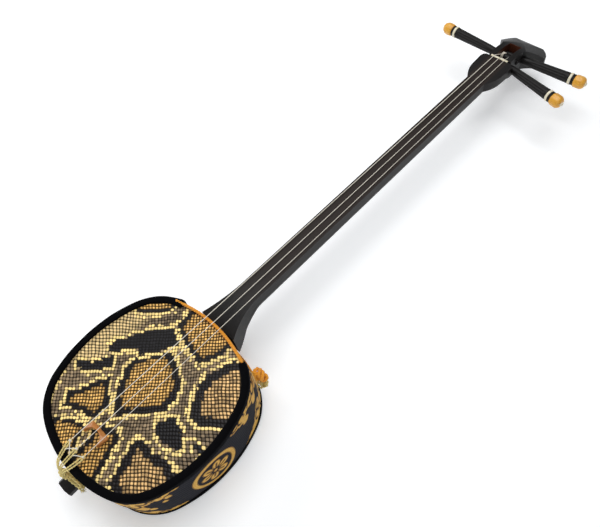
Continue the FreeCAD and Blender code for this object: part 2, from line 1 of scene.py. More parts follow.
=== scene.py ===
# %% [markdown]
# # A snakeskin lute
#
# This file dresses a plucked lute that lies on its back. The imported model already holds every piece
# at its true size, in metres: X to the right and Y up the neck as the face is seen, Z out of the face.
# Blender adds what a maker sees and feels: scales, velvet, brocade, twisted cord, bone and lacquer.
# The frame comes first, because every place below is read from it.

# %% Load the frame
import json
import math
import bpy
import numpy as np
from mathutils import Matrix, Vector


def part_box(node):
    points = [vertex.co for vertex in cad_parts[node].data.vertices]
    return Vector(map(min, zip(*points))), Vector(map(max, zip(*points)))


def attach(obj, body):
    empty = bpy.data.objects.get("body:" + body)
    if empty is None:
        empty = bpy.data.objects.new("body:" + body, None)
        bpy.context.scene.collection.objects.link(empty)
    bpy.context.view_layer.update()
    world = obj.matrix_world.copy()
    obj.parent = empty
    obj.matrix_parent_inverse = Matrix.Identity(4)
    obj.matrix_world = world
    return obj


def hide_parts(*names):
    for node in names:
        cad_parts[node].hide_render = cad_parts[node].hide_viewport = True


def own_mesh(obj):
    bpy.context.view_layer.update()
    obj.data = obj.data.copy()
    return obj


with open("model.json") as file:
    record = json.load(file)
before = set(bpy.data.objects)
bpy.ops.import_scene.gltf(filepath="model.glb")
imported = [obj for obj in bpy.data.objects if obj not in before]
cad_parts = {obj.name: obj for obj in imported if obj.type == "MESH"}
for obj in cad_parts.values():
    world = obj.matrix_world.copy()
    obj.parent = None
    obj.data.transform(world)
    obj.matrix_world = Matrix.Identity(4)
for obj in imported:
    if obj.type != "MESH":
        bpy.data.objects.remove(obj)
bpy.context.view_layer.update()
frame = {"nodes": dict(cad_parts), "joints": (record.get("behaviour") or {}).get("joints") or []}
nodes = frame["nodes"]
mm = 0.001
print("pieces in the frame:", len(nodes))

# %% [markdown]
# ## Camera
#
# The camera looks down on the lute from the right of its body. A camera is an object with a matrix:
# its columns are its right, its up and its backward direction, and its place. A long lens from far
# away would flatten the neck, and this one is near and fairly wide, so the neck runs away from it.

# %% Camera
def set_place(item, right, up, place):
    """Links an item to the scene. The matrix columns are right, up, their cross product and the place."""
    bpy.context.scene.collection.objects.link(item)
    matrix = np.eye(4)
    matrix[:3] = np.stack([right, up, np.cross(right, up), place], 1)
    item.matrix_world = Matrix(matrix.tolist())


def add_camera(place, right, up, lens):
    """A camera from its place and two directions."""
    data = bpy.data.cameras.new("camera")
    data.lens, data.sensor_width = lens, 36.0
    camera = bpy.data.objects.new("camera", data)
    set_place(camera, np.array(right), np.array(up), place)
    bpy.context.scene.camera = camera


add_camera((0.2741, 0.0189, 0.5684), (0.71155, 0.69180, -0.12290), (-0.55012, 0.65732, 0.51507), 34.2)

# %% [markdown]
# ## Floor and light
#
# A studio table is a pale sheet, and its light comes from large soft boxes: a strong one over the
# middle and weaker ones from the left and the front, so that the glossy scales and the black lacquer
# have something to mirror. A pale world fills the shadows. The standard view keeps blacks black and
# colours strong.

# %% Floor and light
def add_floor(size, colour, glow):
    """A flat square with its middle under the lute, a hair below the resting plane. It glows a little,
    as paper that is lit from behind does."""
    mesh = bpy.data.meshes.new("floor")
    half, low = size / 2, -0.0002
    corners = [(-half, -half, low), (half, -half, low), (half, half, low), (-half, half, low)]
    mesh.from_pydata(corners, [], [(0, 1, 2, 3)])
    floor = bpy.data.objects.new("floor", mesh)
    bpy.context.scene.collection.objects.link(floor)
    material = bpy.data.materials.new("paper")
    material.use_nodes = True
    shader = material.node_tree.nodes["Principled BSDF"]
    shader.inputs["Base Color"].default_value = (*colour, 1)
    shader.inputs["Roughness"].default_value = 0.9
    shader.inputs["Emission Color"].default_value = (*colour, 1)
    shader.inputs["Emission Strength"].default_value = glow
    mesh.materials.append(material)


def add_soft_box(name, place, size, power, aim=(0.0, 0.15, 0.03)):
    """An area light that faces the point aim."""
    data = bpy.data.lights.new(name, "AREA")
    data.shape, data.size, data.energy = "SQUARE", size, power
    back = np.array(place) - np.array(aim)
    back /= np.linalg.norm(back)
    right = np.cross((0, 1, 0), back)
    right /= np.linalg.norm(right)
    set_place(bpy.data.objects.new(name, data), right, np.cross(back, right), place)


add_floor(8.0, (0.86, 0.87, 0.88), 0.33)
add_soft_box("top_box", (-0.25, 0.55, 1.6), 1.3, 19.0)
add_soft_box("left_box", (-1.4, 0.1, 0.8), 0.9, 8.5)
add_soft_box("front_box", (0.7, -1.1, 1.0), 1.0, 6.0)
world = bpy.data.worlds.new("studio")
world.use_nodes = True
world.node_tree.nodes["Background"].inputs["Color"].default_value = (0.93, 0.96, 1.0, 1)
world.node_tree.nodes["Background"].inputs["Strength"].default_value = 0.2
bpy.context.scene.world = world
bpy.context.scene.view_settings.view_transform = "Standard"

# %% [markdown]
# ## Shader maths as plain sums
#
# A material is a graph of nodes, and maths in a graph is hard to read. The small class below wraps
# one socket, so that `1 - mask` or `height * 0.3 + grain` writes the Math nodes itself. A second
# class holds one material and has one method that adds any other node.

# %% Sockets that can be added and multiplied
class Wire:
    """The output of a node, or a number that becomes one when it meets a Wire."""

    def __init__(self, finish, socket):
        self.finish, self.socket = finish, socket

    def math(self, operation, *others):
        return self.finish.node("ShaderNodeMath", {"operation": operation}, dict(enumerate((self, *others))))

    def __add__(self, other): return self.math("ADD", other)
    def __sub__(self, other): return self.math("SUBTRACT", other)
    def __mul__(self, other): return self.math("MULTIPLY", other)
    def __truediv__(self, other): return self.math("DIVIDE", other)
    def __pow__(self, other): return self.math("POWER", other)
    def __rsub__(self, other): return (self * -1) + other
    __radd__, __rmul__ = __add__, __mul__

    def size(self): return self.math("ABSOLUTE")
    def wave(self): return self.math("SINE")
    def part(self): return self.math("FRACT")

    def ramp(self, low, high):
        """0 below low, 1 above high, and a straight slope between; low may be the larger one."""
        values = {0: self, 1: low, 2: high, 3: 0.0, 4: 1.0}
        return self.finish.node("ShaderNodeMapRange", {"clamp": True}, values)


class Finish:
    """One material: the shader with its constant sockets, and the nodes that feed the others."""

    def __init__(self, name, constants):
        self.material = bpy.data.materials.new(name)
        self.material.use_nodes = True
        self.tree = self.material.node_tree
        self.shader = self.tree.nodes["Principled BSDF"]
        for socket, value in constants.items():
            self.shader.inputs[socket].default_value = value

    def node(self, kind, settings, values, output=0):
        """Adds a node: settings are its properties, values its sockets by name or number."""
        made = self.tree.nodes.new(kind)
        for name, value in settings.items():
            setattr(made, name, value)
        for key, value in values.items():
            if isinstance(value, Wire):
                self.tree.links.new(value.socket, made.inputs[key])
            else:
                made.inputs[key].default_value = value
        return Wire(self, made.outputs[output])

    def feed(self, socket, wire):
        self.tree.links.new(wire.socket, self.shader.inputs[socket])
        return self

    def blend(self, factor, first, second):
        """A colour that goes from first to second."""
        values = {0: factor}
        for key, colour in ((6, first), (7, second)):
            values[key] = colour if isinstance(colour, Wire) else (*colour, 1)
        return self.node("ShaderNodeMix", {"data_type": "RGBA"}, values, output=2)

    def place(self):
        return self.node("ShaderNodeTexCoord", {}, {}, output="Object")

    def split(self, wire, count):
        """The first numbers of a vector."""
        return [self.node("ShaderNodeSeparateXYZ", {}, {0: wire}, output=k) for k in range(count)]

    def stretched(self, scale):
        """Object coordinates, stretched by scale along X, Y and Z."""
        return self.node("ShaderNodeMapping", {}, {"Vector": self.place(), "Scale": scale})

    def noise(self, scale, detail=3.0, vector=None):
        vector = vector or self.place()
        return self.node("ShaderNodeTexNoise", {}, {"Vector": vector, "Scale": scale, "Detail": detail})

    def attribute(self, name, output="Fac"):
        return self.node("ShaderNodeAttribute", {"attribute_name": name}, {}, output=output)

    def uv(self):
        """The two numbers of the piece's own map."""
        return self.split(self.node("ShaderNodeUVMap", {"uv_map": "map"}, {}), 2)

    def bump(self, height, depth, strength=1.0):
        """Feeds the Normal socket with a relief that is depth metres high."""
        return self.feed("Normal", self.node("ShaderNodeBump", {}, {
            "Height": height, "Distance": depth, "Strength": strength}))


def paint(red, green, blue):
    """A colour as it is mixed by eye, 0 to 255, as the light that Blender works with."""
    share = np.array([red, green, blue]) / 255
    return tuple(np.where(share <= 0.04045, share / 12.92, ((share + 0.055) / 1.055) ** 2.4).tolist())


# %% [markdown]
# ## Surfaces from arrays
#
# Nearly every piece here is a profile carried along a path: a rope, a peg, a band, a nut. Such a
# surface is a table of points, one row for each step along the path and one column for each point of
# the profile, and numpy works the whole table out at once. The helper turns a table into a mesh,
# joins the last column to the first, because each profile is a closed ring, and closes both ends.

# %% Tables of points become pieces
def add_piece(name, points, faces, finish, uv, fields=None):
    """A mesh from points and faces, with a map and named values at its points."""
    mesh = bpy.data.meshes.new(name)
    mesh.from_pydata(points.reshape(-1, 3), [], faces)
    corners = np.zeros(len(mesh.loops), np.int32)
    mesh.loops.foreach_get("vertex_index", corners)
    layer = mesh.uv_layers.new(name="map")
    layer.data.foreach_set("uv", uv.reshape(-1, 2)[corners].astype(np.float32).ravel())
    for field, values in (fields or {}).items():
        kind, key = ("FLOAT_COLOR", "color") if values.ndim == 2 else ("FLOAT", "value")
        layer = mesh.attributes.new(field, kind, "POINT")
        layer.data.foreach_set(key, values.astype(np.float32).ravel())
    mesh.polygons.foreach_set("use_smooth", np.ones(len(mesh.polygons), bool))
    mesh.update()
    piece = bpy.data.objects.new(name, mesh)
    bpy.context.scene.collection.objects.link(piece)
    mesh.materials.append(finish.material)
    return piece


def grid_faces(rows, columns, start=0):
    """Squares between neighbours of a table whose rows are rings, row after row, and a cap at each end."""
    row, column = np.meshgrid(np.arange(rows - 1), np.arange(columns), indexing="ij")
    row, column = row.ravel(), column.ravel()
    ahead = (column + 1) % columns
    quads = np.stack([row * columns + column, row * columns + ahead,
                      (row + 1) * columns + ahead, (row + 1) * columns + column], 1) + start
    caps = [np.arange(columns)[::-1] + start, np.arange(columns) + (rows - 1) * columns + start]
    return quads.tolist() + [cap.tolist() for cap in caps]


def squared(values, power):
    """The values raised to a power below 1 with their signs kept, which squares off an oval."""
    return np.sign(values) * np.abs(values) ** power


def box_mm(name):
    """Low and high corner of a piece's box, in millimetres."""
    return [np.array(corner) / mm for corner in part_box(name)]


def unit(vectors):
    return vectors / np.linalg.norm(vectors, axis=-1, keepdims=True)


def directions(path, up):
    """At each point of a path: its direction, and two directions square to it, the second one nearest up."""
    ahead = unit(np.gradient(path, axis=0))
    aside = unit(np.cross(ahead, np.broadcast_to(up, path.shape)))
    return ahead, aside, np.cross(aside, ahead)


def tube(path, radius, up=(0, 0, 1), around=10):
    """Rings along a path: path + radius * (cos t * aside + sin t * above). Three more rings at each
    end shrink as the root of 1 - d^2, which makes round ends."""
    path, up = np.asarray(path, float), np.asarray(up, float)
    radius = np.broadcast_to(np.asarray(radius, float), (len(path),)).copy()
    ahead_by, shrunk = np.array([1.0, 0.8, 0.45]), np.array([0.15, 0.6, 0.89])
    lead, tail = radius[0] * ahead_by[:, None], radius[-1] * ahead_by[::-1, None]
    first, last = unit(path[0] - path[1]), unit(path[-1] - path[-2])
    path = np.vstack([path[0] + first * lead, path, path[-1] + last * tail])
    radius = np.concatenate([radius[0] * shrunk, radius, radius[-1] * shrunk[::-1]])
    _, aside, above = directions(path, up)
    t = np.linspace(0, 2 * math.pi, around, endpoint=False)
    ring = aside[:, None] * np.cos(t)[None, :, None] + above[:, None] * np.sin(t)[None, :, None]
    return path[:, None] + ring * radius[:, None, None]


def route(points, spacing):
    """Even steps along the smooth curve that a list of points pulls into shape, given in millimetres."""
    curve = bpy.data.curves.new("route", "CURVE")
    curve.dimensions, curve.resolution_u = "3D", 24
    spline = curve.splines.new("NURBS")
    spline.points.add(len(points) - 1)
    for point, place in zip(spline.points, points):
        point.co = (*(value * mm for value in place), 1)
    spline.order_u, spline.use_endpoint_u = 3, True
    holder = bpy.data.objects.new("route", curve)
    mesh = bpy.data.meshes.new_from_object(holder)
    path = np.array([vertex.co for vertex in mesh.vertices])
    bpy.data.objects.remove(holder)
    bpy.data.meshes.remove(mesh)
    bpy.data.curves.remove(curve)
    return even(path, spacing)


def even(path, spacing):
    """The same path in steps of one length."""
    run = np.concatenate([[0], np.cumsum(np.linalg.norm(np.diff(path, axis=0), axis=1))])
    steps = np.linspace(0, run[-1], max(int(run[-1] / spacing), 4) + 1)
    return np.stack([np.interp(steps, run, path[:, k]) for k in range(3)], 1)


def rope_tables(path, radius, plies=3, turn=6.0, up=(0, 0, 1), around=8):
    """One table for each ply: its middle circles the path at half the radius, once in turn radii."""
    run = np.concatenate([[0], np.cumsum(np.linalg.norm(np.diff(path, axis=0), axis=1))])
    _, aside, above = directions(path, np.asarray(up, float))
    share = {2: 0.5, 3: 0.46}[plies]
    tables = []
    for ply in range(plies):
        angle = (2 * math.pi * (run / (turn * radius) + ply / plies))[:, None]
        middle = path + radius * share * (aside * np.cos(angle) + above * np.sin(angle))
        tables.append(tube(middle, radius * (1.02 - share), up, around))
    return tables


def add_tables(name, tables, finish):
    """One piece from several tables of points, each a closed tube, mapped by its turn and its run."""
    faces, points, maps, start = [], [], [], 0
    for table in tables:
        rows, columns = table.shape[:2]
        faces += grid_faces(rows, columns, start=start)
        points.append(table.reshape(-1, 3))
        run = np.linalg.norm(np.diff(table.mean(1), axis=0), axis=1)
        run = np.concatenate([[0], np.cumsum(run)]) / mm
        turn = np.abs(np.linspace(-1, 1, columns, endpoint=False))
        maps.append(np.stack(np.meshgrid(turn, run), -1).reshape(-1, 2))
        start += rows * columns
    return add_piece(name, np.vstack(points), faces, finish, np.vstack(maps))


def dress(piece, body, slot, *replaced):
    """Says what a piece rides on and hides the plain pieces it stands for; slot is not used."""
    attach(piece, body)
    if replaced:
        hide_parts(*replaced)
    return piece


# %% [markdown]
# ## The body's outline
#
# The body is a square with bowed sides and round corners. The maker draws it with three radii, and a
# quarter of it is three arcs that flow into each other: half an end, a corner and half a side. The
# function walks round it from the middle of the tail, to the right first. Skin, velvet and brocade
# all follow it.

# %% Outline
cover_low, cover_high = (np.array(corner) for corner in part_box("cover_fabric"))
skin_low, skin_high = (np.array(corner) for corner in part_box("front_skin"))
half_width, half_length, face = cover_high[0], -cover_low[1], skin_high[2]
end_radius, side_radius, corner_radius = 140 * mm, 140 * mm, 58 * mm


def corner_middle():
    """Middle of the corner arc: the point that is end_radius - corner_radius from the middle of the end
    arc and side_radius - corner_radius from the middle of the side arc."""
    across, along = half_width - side_radius, half_length - end_radius
    gap = math.hypot(across, along)
    to_side, to_end = side_radius - corner_radius, end_radius - corner_radius
    reach = (gap ** 2 + to_side ** 2 - to_end ** 2) / (2 * gap)
    off = math.sqrt(to_side ** 2 - reach ** 2)
    return across + (-across * reach - along * off) / gap, (along * reach - across * off) / gap


corner_x, corner_y = corner_middle()
end_turn = math.atan2(corner_y - (half_length - end_radius), corner_x)
side_turn = math.atan2(corner_y, corner_x - (half_width - side_radius))
end_run, corner_run = end_radius * (math.pi / 2 - end_turn), corner_radius * (end_turn - side_turn)
quarter = end_run + corner_run + side_radius * side_turn
corner_at = end_run + corner_run / 2


def outline(run):
    """Points and outward directions at distances run along the outline: middle of the arc + radius *
    (cos a, sin a), where a falls by distance / radius along each arc, mirrored into each quarter."""
    run = np.asarray(run) % (4 * quarter)
    piece = np.minimum((run / quarter).astype(int), 3)
    m = np.choose(piece, [run, 2 * quarter - run, run - 2 * quarter, 4 * quarter - run])
    sign_x = np.where(piece < 2, 1.0, -1.0)
    sign_y = np.where((piece == 1) | (piece == 2), 1.0, -1.0)
    on_end, on_corner = m < end_run, m < end_run + corner_run
    angle = np.where(on_end, math.pi / 2 - m / end_radius, np.where(
        on_corner, end_turn - (m - end_run) / corner_radius, (quarter - m) / side_radius))
    radius = np.where(on_end, end_radius, np.where(on_corner, corner_radius, side_radius))
    x0 = np.where(on_end, 0.0, np.where(on_corner, corner_x, half_width - side_radius))
    y0 = np.where(on_end, half_length - end_radius, np.where(on_corner, corner_y, 0.0))
    out = np.stack([np.cos(angle), np.sin(angle)], -1)
    point = np.stack([x0, y0], -1) + radius[..., None] * out
    flip = np.stack([sign_x, sign_y], -1)
    return point * flip, out * flip


print(f"outline: {4 * quarter / mm:.0f} mm round, face at {face / mm:.1f} mm")

# %% [markdown]
# ## Snakeskin: the scales
#
# A python's skin is rows of diamond scales that run slantwise, small along the back of the snake and
# wide at its flanks. Two numbers that grow along the two slants count the scales, and their whole
# parts say in which scale a point lies. Python pattern is made of blotches: each is drawn as an
# outline, and the distance from a scale's middle to the nearest outline says what the scale is: cream
# just outside, black just inside, and tan with a dark net farther in. Because the distance is taken at
# the scale's middle, every edge of the pattern steps from scale to scale, as it does on the snake.

# %% Scale counts
scale_wide, scale_high = 4.25, 4.4


def scale_counts(x, y):
    """Counts along the two slants, in mm: across + along and across - along, where across grows more
    slowly towards the flanks: x / w * (1 - 0.13 (x / 93)^2)."""
    x = x + 0.55 * np.sin(y / 7.1 + 2 * np.sin(x / 31)) + 0.3 * np.sin(y / 2.9 + x / 5.3)
    across = x / scale_wide * (1 - 0.13 * np.minimum((x / 93) ** 2, 1.3))
    bow = 1.2 * np.sin(x / 60.0) + 0.6 * np.sin(x / 8.3 + y / 19) + 0.25 * np.sin(x / 3.1 - y / 4.7)
    along = (y + bow) / scale_high
    return across + along, across - along


def chance(*whole, seed=0.0):
    """A fixed number between 0 and 1 for each scale, from its two counts."""
    mixed = sum(w * k for w, k in zip(whole, (12.9898, 78.233))) + seed
    return np.abs(np.sin(mixed) * 43758.5453) % 1.0


# %% Blotches
# Each blotch: kind, black margin in mm, and its outline on the face, in mm from the middle.
face_blotches = [
    ("net", 6.0, [(-12, 42), (6, 35), (21, 27), (29, 13), (30, 0), (21, -11), (8, -24), (-4, -36),
                  (-16, -25), (-26, -10), (-33, 2), (-34, 10), (-28, 22), (-22, 33)]),
    ("black", 30, [(-30, 61), (-3, 66), (10, 60), (0, 54), (-12, 50), (-18, 40), (-25, 29), (-33, 19),
                   (-41, 20), (-49, 12), (-55, 1), (-61, 1), (-67, 8), (-60, 18), (-54, 29), (-50, 38),
                   (-42, 48), (-34, 53)]),
    ("net", 5.0, [(-31, 79), (-29, 66), (-21, 60), (-2, 55), (20, 52), (25, 62), (30, 75), (30, 92),
                  (0, 94), (-30, 90)]),
    ("wide", 8.5, [(42, 76), (38, 62), (34, 48), (37, 33), (43, 23), (52, 13), (62, 12), (73, 20),
                   (83, 28), (96, 40), (96, 66), (80, 82), (55, 84)]),
    ("black", 30, [(41, 1), (34, -10), (38, -17), (48, -20), (60, -18), (71, -12), (64, -6), (55, -1),
                   (48, 2)]),
    ("wide", 7.0, [(30, -33), (33, -45), (38, -58), (43, -73), (58, -78), (78, -70), (96, -56), (98, -34),
                   (84, -28), (68, -27), (52, -31), (38, -31)]),
    ("net", 4.5, [(-2, -47), (12, -42), (18, -45), (22, -55), (27, -68), (31, -82), (25, -95), (0, -95),
                  (-3, -80), (-3, -67), (-7, -56)]),
    ("net", 4.5, [(-38, -17), (-15, -33), (-16, -50), (-30, -54), (-48, -63), (-56, -52), (-50, -42),
                  (-45, -30)]),
    ("net", 3.0, [(-15, -60), (-13, -68), (-7, -78), (-9, -94), (-34, -95), (-46, -76), (-30, -65)]),
    ("black", 30, [(-53, 0), (-45, -7), (-52, -17), (-60, -27), (-72, -32), (-80, -27), (-70, -22),
                   (-61, -16), (-58, -7)]),
    ("net", 3.5, [(-84, 56), (-70, 76), (-52, 82), (-46, 70), (-57, 57), (-70, 46), (-80, 46)]),
    ("black", 30, [(72, 0), (84, 3), (96, 4), (96, -3), (82, -4)]),
    ("wide", 4.0, [(-96, -40), (-80, -44), (-72, -58), (-66, -70), (-80, -84), (-96, -76)]),
]


def distance_to(outline_points, x, y):
    """Signed distance to a closed outline, negative inside: the least distance to its straight runs,
    with the sign from how often a ray to the right crosses them."""
    corners = np.array(outline_points, float)
    ahead = np.roll(corners, -1, axis=0)
    px, py = x[..., None] - corners[:, 0], y[..., None] - corners[:, 1]
    ex, ey = (ahead - corners).T
    share = np.clip((px * ex + py * ey) / (ex ** 2 + ey ** 2), 0, 1)
    gap = np.hypot(px - share * ex, py - share * ey).min(-1)
    crosses = (corners[:, 1] > y[..., None]) != (ahead[:, 1] > y[..., None])
    at_x = corners[:, 0] + (y[..., None] - corners[:, 1]) / np.where(ey == 0, 1e-9, ey) * ex
    inside = (crosses & (x[..., None] < at_x)).sum(-1) % 2 == 1
    return np.where(inside, -gap, gap)


def skin_pattern(x, y, blotches, seed):
    """For points in mm: relief in mm, colour, net width, and the two scale counts."""
    a, b = scale_counts(x, y)
    whole_a, whole_b = np.floor(a), np.floor(b)
    part_a, part_b = a - whole_a - 0.5, b - whole_b - 0.5
    wide = scale_wide / (1 - 0.39 * np.minimum((x / 93) ** 2, 1.1))
    middle_x = x - (part_a + part_b) / 2 * wide
    middle_y = y - (part_a - part_b) / 2 * scale_high
    luck, luck_2 = chance(whole_a, whole_b, seed=seed), chance(whole_b, whole_a, seed=seed + 1.7)
    jitter = (luck - 0.5) * 1.6
    ground = 0.5 + 0.5 * np.sin(middle_x / 17 + 1.3 * np.sin(middle_y / 23))
    pale = np.clip((-middle_x - 54) / 10, 0, 1) * np.clip((middle_y + 34) / 10, 0, 1)
    stone, cream, sand = (np.array(paint(*c)) for c in ((134, 116, 92), (232, 206, 142), (216, 190, 140)))
    black, tan = np.array(paint(17, 13, 13)), np.array(paint(186, 148, 92))
    colour = stone * (0.3 + 0.85 * luck[..., None] ** 1.5 + 0.4 * ground[..., None])
    colour = colour * (1 - pale[..., None]) + sand * (0.75 + 0.5 * luck[..., None]) * pale[..., None]
    net = np.where(pale > 0.5, 0.14, 0.12)
    for kind, margin, points in blotches:
        gap = distance_to(points, middle_x, middle_y) + jitter
        rim = (gap > 0) & (gap < 4.4) & (luck_2 > 0.14)
        colour = np.where(rim[..., None], cream * (0.85 + 0.6 * luck_2[..., None]), colour)
        net = np.where(rim, 0.085, net)
        edge = (gap <= 0) & (gap > -margin)
        dark = black if kind != "black" else np.array(paint(15, 14, 17))
        colour = np.where(edge[..., None], dark * (0.7 + 0.9 * luck_2[..., None]), colour)
        core = gap <= -margin
        near = np.clip(1.0 + (gap + margin) / 9, 0.6, 1.0)[..., None]
        inner = tan * (0.6 + 0.8 * luck[..., None]) / near
        if kind == "wide":
            inner = (tan + 0.06) * (0.5 + 1.2 * luck[..., None])
        colour = np.where(core[..., None], inner, colour)
        net = np.where(core, 0.24 if kind == "net" else 0.2, np.where(edge, 0.13, net))
    net = net * (0.75 + 0.5 * chance(whole_a, whole_b, seed=seed + 4.1))
    dome = (1 - (2 * np.abs(part_a)) ** 4) * (1 - (2 * np.abs(part_b)) ** 4)
    lift = 0.5 - 0.5 * (part_a - part_b)
    relief = dome * (0.16 + 0.16 * lift) * (0.8 + 0.4 * luck_2) - 0.3
    return relief, np.concatenate([colour, np.ones(x.shape + (1,))], -1), net, np.stack([a, b], -1)


# %% [markdown]
# ## Snakeskin: the sheet
#
# The skin is a square patch of points, pushed out to the body's outline, so that its points are evenly
# spread. Rings of points carry it on over the edge and down the side, and the pattern runs on as
# if the skin were still flat, because it was painted by the snake before it was folded. The relief of
# each scale is real, so the lute's skin is rough in any light; the thin net between the scales comes
# from the scale counts, which are the piece's map.

# %% Skin surface
fold_inset, fold_high, fold_round = half_width - skin_high[0], skin_high[2] - skin_low[2], 1.2 * mm


def square_to_outline(u, v, inset):
    """A square patch pushed out: the larger of |u| and |v| times the outline's point at that place."""
    reach = np.maximum(np.maximum(np.abs(u), np.abs(v)), 1e-9)
    bu, bv, side_run = u / reach, v / reach, quarter - corner_at
    run = np.select([v <= -np.abs(u), u >= np.abs(v), v >= np.abs(u)],
                    [bu * corner_at, quarter + bv * side_run, 2 * quarter - bu * corner_at],
                    3 * quarter - bv * side_run)
    point, out = outline(run)
    return (point - out * inset) * reach[..., None], run


def add_skin(name, blotches, finish, level, facing, seed, steps=256):
    """The drum skin: a patch of steps x steps points and rings that turn down over the side."""
    grid = np.linspace(-1, 1, steps)
    u, v = np.meshgrid(grid, grid)
    flat, _ = square_to_outline(u, v, fold_inset + fold_round)
    index = np.arange(steps * steps).reshape(steps, steps)
    border = np.concatenate([index[0, :-1], index[:-1, -1], index[-1, :0:-1], index[:0:-1, 0]])
    _, border_run = square_to_outline(u.ravel()[border], v.ravel()[border], 0)
    around = len(border)
    turn = np.linspace(0, math.pi / 2, 4)[1:]
    straight = np.linspace(0, fold_high - fold_round, 15)[1:]
    out_by = np.concatenate([fold_round * np.sin(turn), np.full(len(straight), fold_round)])
    down_by = np.concatenate([fold_round * (1 - np.cos(turn)), fold_round + straight])
    on_skin = np.concatenate([fold_round * turn, fold_round * math.pi / 2 + straight])
    point, out = outline(border_run)
    rings = point + out * (out_by[:, None, None] - fold_inset - fold_round)
    painted = point + out * (on_skin[:, None, None] - fold_inset - fold_round)
    spread = np.vstack([flat.reshape(-1, 2), painted.reshape(-1, 2)]) / mm
    relief, colour, net, counts = skin_pattern(spread[:, 0], spread[:, 1], blotches, seed)
    relief = relief * mm
    leaning = np.concatenate([turn, np.full(len(straight), math.pi / 2)])
    tilt = np.concatenate([np.zeros(steps * steps), np.repeat(leaning, around)])
    side = np.vstack([np.zeros((steps * steps, 2)), np.tile(out, (len(out_by), 1))])
    xy = np.vstack([flat.reshape(-1, 2), rings.reshape(-1, 2)]) + side * (relief * np.sin(tilt))[:, None]
    depth = np.concatenate([np.zeros(steps * steps), np.repeat(down_by, around)]) - relief * np.cos(tilt)
    inner = point - out * (fold_inset + 1.0 * mm)
    for deep in (fold_high, 1.0 * mm):
        xy, depth = np.vstack([xy, inner]), np.concatenate([depth, np.full(around, deep)])
    points = np.column_stack([xy, level - facing * depth])
    extra = 2 * around
    colour = np.vstack([colour, np.tile((*paint(120, 96, 70), 1), (extra, 1))])
    net = np.concatenate([net, np.full(extra, 0.1)])
    counts = np.vstack([counts, np.tile(counts[-around:], (2, 1))])
    quads = np.stack([index[:-1, :-1], index[:-1, 1:], index[1:, 1:], index[1:, :-1]], -1).reshape(-1, 4)
    loops = np.vstack([border, steps * steps + np.arange((len(out_by) + 2) * around).reshape(-1, around)])
    ahead = np.roll(loops, -1, axis=1)
    bands = np.stack([loops[:-1], loops[1:], ahead[1:], ahead[:-1]], -1).reshape(-1, 4)
    faces = np.vstack([quads, bands]).tolist() + [loops[-1, ::-1].tolist()]
    if facing < 0:
        faces = [polygon[::-1] for polygon in faces]
    return add_piece(name, points, faces, finish, counts, {"tint": colour, "net": net})


# %% Snakeskin finish
def make_snakeskin():
    """Each scale has its own colour, with a painted highlight that brightens it towards its crown, and a
    groove round it that is darkened partly by the skin's own net and partly by painted shade.
    """
    finish = Finish("snakeskin", {"Specular IOR Level": 0.14, "Coat Roughness": 0.25})
    a, b = finish.uv()
    from_middle_a, from_middle_b = (a.part() - 0.5).size(), (b.part() - 0.5).size()
    to_edge = 0.5 - (from_middle_a ** 3 + from_middle_b ** 3) ** 0.3333
    net = finish.attribute("net")
    groove = (to_edge / net).ramp(1.25, 0.25)
    grain = finish.noise(900.0, 4.0)
    cloud = finish.noise(70.0, 2.0)
    tint = finish.attribute("tint", "Color")
    # Painted highlight: the colour grows brighter towards each scale's crown, as the top of a glossy dome
    # catches the light; crown also shapes the bump below.
    crown = (to_edge * 2.0) ** 0.7
    lit = finish.node("ShaderNodeHueSaturation", {}, {
        "Color": tint, "Value": 0.72 + crown * 0.35 + grain * 0.35 + cloud * 0.12, "Saturation": 1.08})
    # The near-black groove is partly the skin's own dark net between the scales and partly painted shade in
    # the recess round each scale.
    colour = finish.blend(groove * 0.95, lit, paint(14, 10, 8))
    finish.feed("Base Color", colour)
    finish.feed("Roughness", 0.3 + groove * 0.35 + grain * 0.2)
    finish.feed("Coat Weight", (1 - groove) * 0.14)
    scratches = finish.noise(2600.0, 2.0)
    return finish.bump(crown * 0.7 - groove * 0.6 + scratches * 0.25, 0.16 * mm, 0.8)


snakeskin = make_snakeskin()
front_skin = add_skin("front_snakeskin", face_blotches, snakeskin, face, 1, 3.0)
dress(front_skin, "lute", "snakeskin", "front_skin")
back_blotches = [(kind, margin, [(-x * 0.96 + 3, y * 0.96 - 4) for x, y in points][::-1])
                 for kind, margin, points in face_blotches]
back_skin = add_skin("back_snakeskin", back_blotches, snakeskin, 0.0, -1, 11.0, steps=232)
dress(back_skin, "lute", "snakeskin", "back_skin")
print("front skin:", len(front_skin.data.polygons), "faces")

# %% [markdown]
# ## Velvet bands
#
# A stuffed band of black velvet hides the edge of the skin, and a thinner one edges the cover at the
# back. Each is a profile carried along the outline and left open at the neck. A ring of hand-set
# points would look faceted, so the profile is a squarish oval: cos and sin raised to a power below 1.
# Velvet swallows light face on and catches it at grazing angles, which is what the sheen is for.

# %% Velvet
def make_velvet():
    finish = Finish("velvet", {
        "Roughness": 0.95, "Sheen Weight": 0.05, "Sheen Roughness": 0.35, "Specular IOR Level": 0.05,
        "Sheen Tint": (0.45, 0.5, 0.6, 1)})
    pile, patches = finish.noise(2600.0, 3.0), finish.noise(140.0, 2.0)
    finish.feed("Base Color", finish.blend(pile * 0.6 + patches * 0.4, paint(3, 3, 4), paint(14, 14, 17)))
    return finish.bump(pile + patches * 0.6, 0.25 * mm, 0.9)


velvet = make_velvet()
neck_gap = 51 * mm
lap = np.linspace(quarter, 2 * quarter, 4000)
gap_run = np.interp(-neck_gap, -outline(lap)[0][:, 0], lap)


